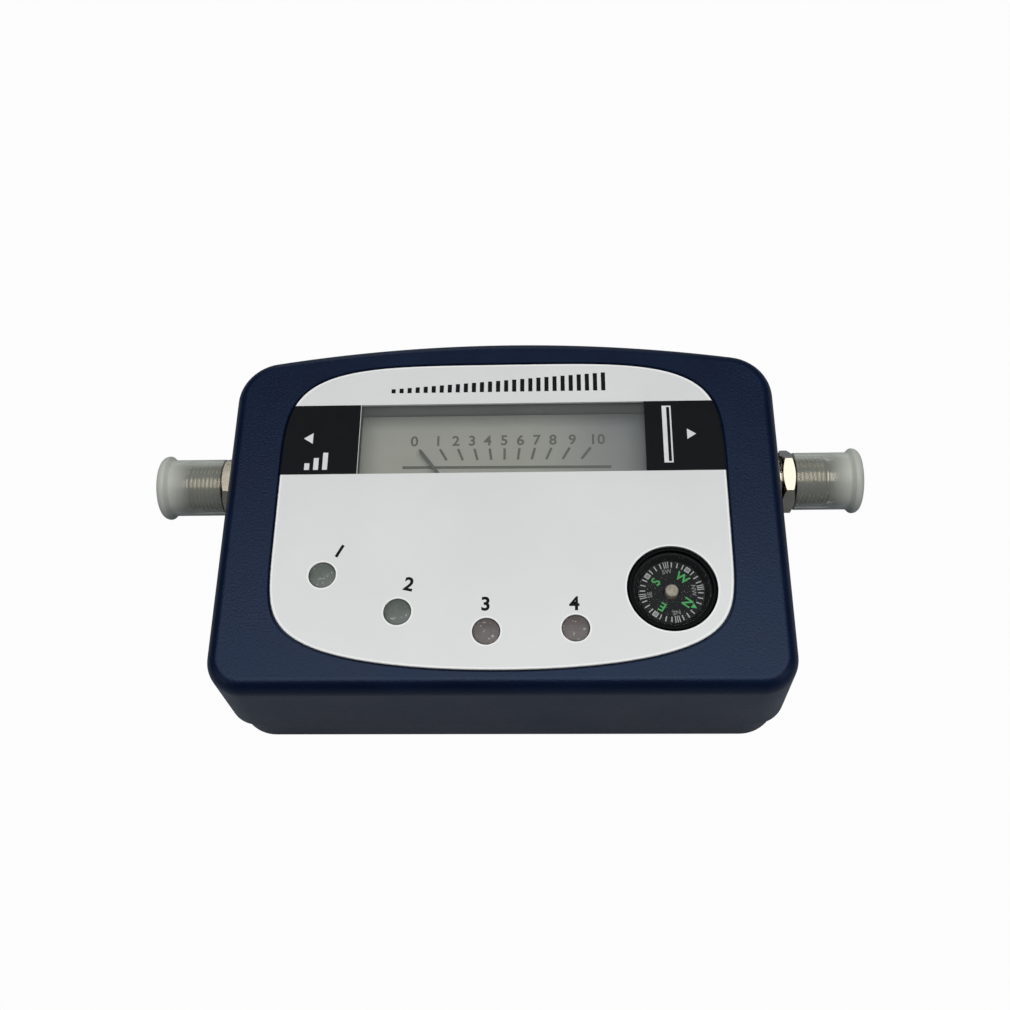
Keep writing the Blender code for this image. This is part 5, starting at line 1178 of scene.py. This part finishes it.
def makeWheel():
    outer, thick, bore, end = wheel["radius"], wheel["thickness"], wheel["bore"], wheel["ridgeEnd"]
    core, floor, soft = outer - wheel["ridgeDepth"], thick - wheel["sinkDepth"], wheel["edgeRound"]
    disc = newMesh("thumbWheel", turned(bmesh.new(), rounded([
        (bore, 0, wheel["boreRound"]), (core, 0, soft), (core, thick, soft), (bore + wheel["sinkTo"], thick),
        (bore + wheel["sinkFrom"], floor), (bore, floor)]), 144, endless=True), "blackStyrene")
    half = 2 * pi * outer / wheel["ridges"] * wheel["ridgeShare"]
    root, shoulder, top = core - wheel["ridgeRoot"], outer - wheel["ridgeRound"], half * wheel["ridgeTop"]
    ridges = newMesh("wheelRidges", prism(bmesh.new(), [
        (root, -half), (core, -half), (shoulder, -top), (outer, 0), (shoulder, top), (core, half), (root, half)],
        end, thick - end), "blackStyrene")
    allRound(ridges, "blackStyrene", wheel["ridges"], pi / 2)
    finishPiece(joinPieces(disc, ridges), "level_knob", "black_plastic", "level_wheel",
                place=Matrix.Translation((0, wheel["y"], wheel["base"])))


makeWheel()


# Cable sockets and their dust caps, drawn along Z from the seat on the wall and laid along X

alongX = Matrix.Rotation(pi / 2, 4, "Y")       # lays a shape that stands on Z along +X
fitting = {
    "thread": 4.7, "length": 13.1, "bore": 3.2, "nose": 3.95, "noseLength": 2.0, "pitch": 0.794, "threadDepth": 0.40,
    "threadRun": 1.3, "ridgeHalf": 0.46, "flangeGap": 0.05, "edge": 0.2, "neckFrom": 0.6, "neckTo": 1.0, "neckEnd": 0.3,
    "flangeFace": -2.3, "flangeBack": -4.3, "flangeWidth": 12.0, "foot": -5.0,
    "washer": 6.3, "washerFrom": 0.3, "washerThickness": 0.5,       # on the right side only
    "lock": 5.7, "lockFrom": 1.1, "lockThickness": 0.5, "lockRing": 0.35, "lockEdge": 0.1,
    "teeth": 12, "tooth": (0.75, 1.5, 0.22), "toothIn": 0.45, "toothTwist": radians(9),     # the tooth's length first
    "nutFlats": 5.5, "nutFrom": 1.9, "nutThickness": 2.3, "nutChamfer": radians(30), "nutClear": 0.1,
    "nutTurns": {"left": radians(28), "right": radians(-19)},   # the left one's flat doesn't mirror the lamp
    "nearer": {"left": 0.8, "right": 0.0},      # how much nearer to the wall the lock washer, nut and cap sit
    "ringBore": 5.0, "ringRounds": (0.08, 0.15),
    "insulatorSetback": 0.8, "insulatorRadius": 2.9, "insulatorBore": 0.8, "insulatorRounds": (0.2, 0.15),
    "mouth": 0.5, "mouthDepth": 0.6,
}
cap = {
    "from": 4.5, "length": 12.7, "bore": 5.0, "sleeve": 5.6, "endWall": 0.8, "bead": 6.35, "beadLength": 2.4,
    "beadRound": 1.3, "neckRound": 0.6, "beadRise": 0.8, "dish": 0.15, "dishFrom": 0.55, "dishTo": 0.4,
    "boreRound": 0.6, "mouthRounds": (0.12, 0.2),
}


# Sets a fitting that is drawn along Z on its side of the case, with a turn about its own axis
def onSide(side, start=0.0, turn=0.0):
    facing = Matrix.Rotation(0 if side > 0 else pi, 4, "Z")
    return (Matrix.Translation((side * socket["seatX"], socket["y"], socket["z"])) @ facing
            @ Matrix.Translation((start, 0, 0)) @ Matrix.Rotation(turn, 4, "X") @ alongX)


def socketShape():
    thread, root = fitting["thread"], fitting["thread"] - fitting["threadDepth"]
    length, bore, back, nose = fitting["length"], fitting["bore"], fitting["flangeBack"], fitting["nose"]
    threadEnd, edge, neck = length - fitting["noseLength"], fitting["edge"], fitting["neckTo"]
    barrel = newMesh("socketBarrel", turned(bmesh.new(), [
        (bore, back), (thread, back), (thread, fitting["neckFrom"]), (root, neck),
        (root, threadEnd - fitting["neckEnd"]), (nose, threadEnd), (nose, length - edge), (nose - edge, length),
        (bore + edge, length), (bore, length - edge)], 96, endless=True), "nickelPlate")
    wide, face, foot = fitting["flangeWidth"], fitting["flangeFace"], fitting["foot"]
    # the flange stands behind the wall, and its foot rests on the board: after it is laid along X, -X here is up
    flange = newMesh("socketFlange", block(bmesh.new(), (wide / 2 - foot, wide, face - back),
                                           (-(wide / 2 + foot) / 2, 0, (face + back) / 2)), "nickelPlate")
    combine(flange, rod(bmesh.new(), thread - fitting["flangeGap"], (0, 0, back - overrun), (0, 0, overrun), 96))
    rise = threadEnd - fitting["threadRun"]
    ridge = winding("socketThread", "nickelPlate", neck, Turns=rise / fitting["pitch"], Steps=64, Inner=root,
                    Outer=root, Rise=rise, Width=fitting["threadDepth"], Height=fitting["pitch"] * fitting["ridgeHalf"])
    return joinPieces(barrel, flange, ridge)


def washerShape():
    inner, outer, thick = fitting["ringBore"], fitting["washer"], fitting["washerThickness"]
    small, large = fitting["ringRounds"]
    return newMesh("plainWasher", turned(bmesh.new(), rounded([
        (inner, 0, small), (outer, 0, large), (outer, thick, large), (inner, thick, small)]), 96, endless=True),
        "nickelPlate")


# A spring washer with teeth that are twisted out of its plane
def lockShape():
    inner, outer, thick = fitting["ringBore"], fitting["lock"] - fitting["lockRing"], fitting["lockThickness"]
    low, high = fitting["lockEdge"], thick - fitting["lockEdge"]
    ring = newMesh("lockRing", turned(bmesh.new(), [(inner, low), (outer, low), (outer, high), (inner, high)], 96,
                                      endless=True), "nickelPlate")
    bm = block(bmesh.new(), fitting["tooth"], (fitting["lock"] - fitting["toothIn"], 0, 0))
    bmesh.ops.rotate(bm, verts=bm.verts, cent=(0, 0, 0), matrix=Matrix.Rotation(fitting["toothTwist"], 3, "X"))
    bmesh.ops.translate(bm, verts=bm.verts, vec=(0, 0, thick / 2))
    teeth = allRound(newMesh("lockTeeth", bm, "nickelPlate"), "nickelPlate", fitting["teeth"])
    return joinPieces(ring, teeth)


def nutShape():
    flats, thick, bore, edge = fitting["nutFlats"], fitting["nutThickness"], fitting["ringBore"], fitting["edge"]
    corner = flats / cos(pi / 6)
    nut = newMesh("nutBody", prism(bmesh.new(), [(corner * cos(pi / 3 * i), corner * sin(pi / 3 * i))
                                                 for i in range(6)], 0, thick), "nickelPlate")
    outside = corner + fitting["nutClear"]
    fall = (outside - flats) * tan(fitting["nutChamfer"])
    combine(nut, turned(bmesh.new(), [(0, 0), (flats, 0), (outside, fall), (outside, thick - fall), (flats, thick),
                                      (0, thick)], 128), "INTERSECT")
    combine(nut, turned(bmesh.new(), [
        (0, -overrun), (bore + overrun + edge, -overrun), (bore, edge), (bore, thick - edge),
        (bore + overrun + edge, thick + overrun), (0, thick + overrun)], 96))
    return nut


def capShape():
    length, bead, bore, sleeve = cap["length"], cap["bead"], cap["bore"], cap["sleeve"]
    beadFrom, floor, dish = length - cap["beadLength"], length - cap["endWall"], length - cap["dish"]
    small, large = cap["mouthRounds"]
    return newMesh("dustCap", turned(bmesh.new(), rounded([
        (0, floor), (bore, floor, cap["boreRound"]), (bore, 0, small), (sleeve, 0, large),
        (sleeve, beadFrom, cap["neckRound"]), (bead, beadFrom + cap["beadRise"], cap["neckRound"]),
        (bead, length, cap["beadRound"]), (bead * cap["dishFrom"], length), (bead * cap["dishTo"], dish),
        (0, dish)], steps=8, endless=False), 96), "milkyPolythene")


def insulatorShape():
    back, front = fitting["flangeBack"], fitting["length"] - fitting["insulatorSetback"]
    (outerRound, innerRound), hole, outer = (fitting["insulator" + key] for key in ("Rounds", "Bore", "Radius"))
    return newMesh("insulatorSleeve", turned(bmesh.new(), rounded([
        (hole, back), (outer, back), (outer, front, outerRound), (hole + fitting["mouth"], front, innerRound),
        (hole, front - fitting["mouthDepth"])]), 64, endless=True), "whitePtfe")


def makeFittings():
    shapes = {      # the nodes' name: the pieces' name, shape and slot, their start, and if the left one is nearer
        "socket": ("socket", socketShape(), "nickel", 0.0, False),
        "washer": ("washer", washerShape(), "nickel", fitting["washerFrom"], False),
        "lock_washer": ("lockWasher", lockShape(), "nickel", fitting["lockFrom"], True),
        "nut": ("nut", nutShape(), "nickel", fitting["nutFrom"], True),
        "insulator": ("insulator", insulatorShape(), "white_plastic", 0.0, False),
        "cap": ("cap", capShape(), "milky_plastic", cap["from"], True),
    }
    for kind, (label, pattern, slot, start, shifted) in shapes.items():
        for side, word in ((-1, "left"), (1, "right")):
            if kind == "washer" and word == "left":
                continue
            piece = addObject(f"{label}{word.capitalize()}Fine", pattern.data.copy())
            turn = fitting["nutTurns"][word] if kind == "nut" else 0.0
            place = onSide(side, start - (fitting["nearer"][word] if shifted else 0.0), turn)
            finishPiece(piece, f"{word}_cap" if kind == "cap" else "case", slot, f"{kind}_{word}", place=place)
        drop(pattern)


makeFittings()
print("fittings are made")


# The other solids keep their shape and get the finish of the real thing

kept = {
    "clearStyrene": ["meter_cover"], "greyStyrene": ["meter_case"], "scaleCard": ["scale_plate"],
    "needleLacquer": ["needle"], "softIron": ["meter_yoke"], "groundMagnet": ["core_magnet", "compass_magnet"],
    "windingWire": ["moving_coil"], "greenLaminate": ["circuit_board"], "tinplate": ["shield_can"],
    "brass": ["bearing_bridge", "lower_bearing", "contact_left", "contact_right", "compass_pin"],
    "blackStyrene": ["level_pot"], "zincSteel": ["wheel_screw"],
}
for finish, names in kept.items():
    for name in names:
        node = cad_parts[name]
        node.data.materials.clear()
        node.data.materials.append(materials[finish])
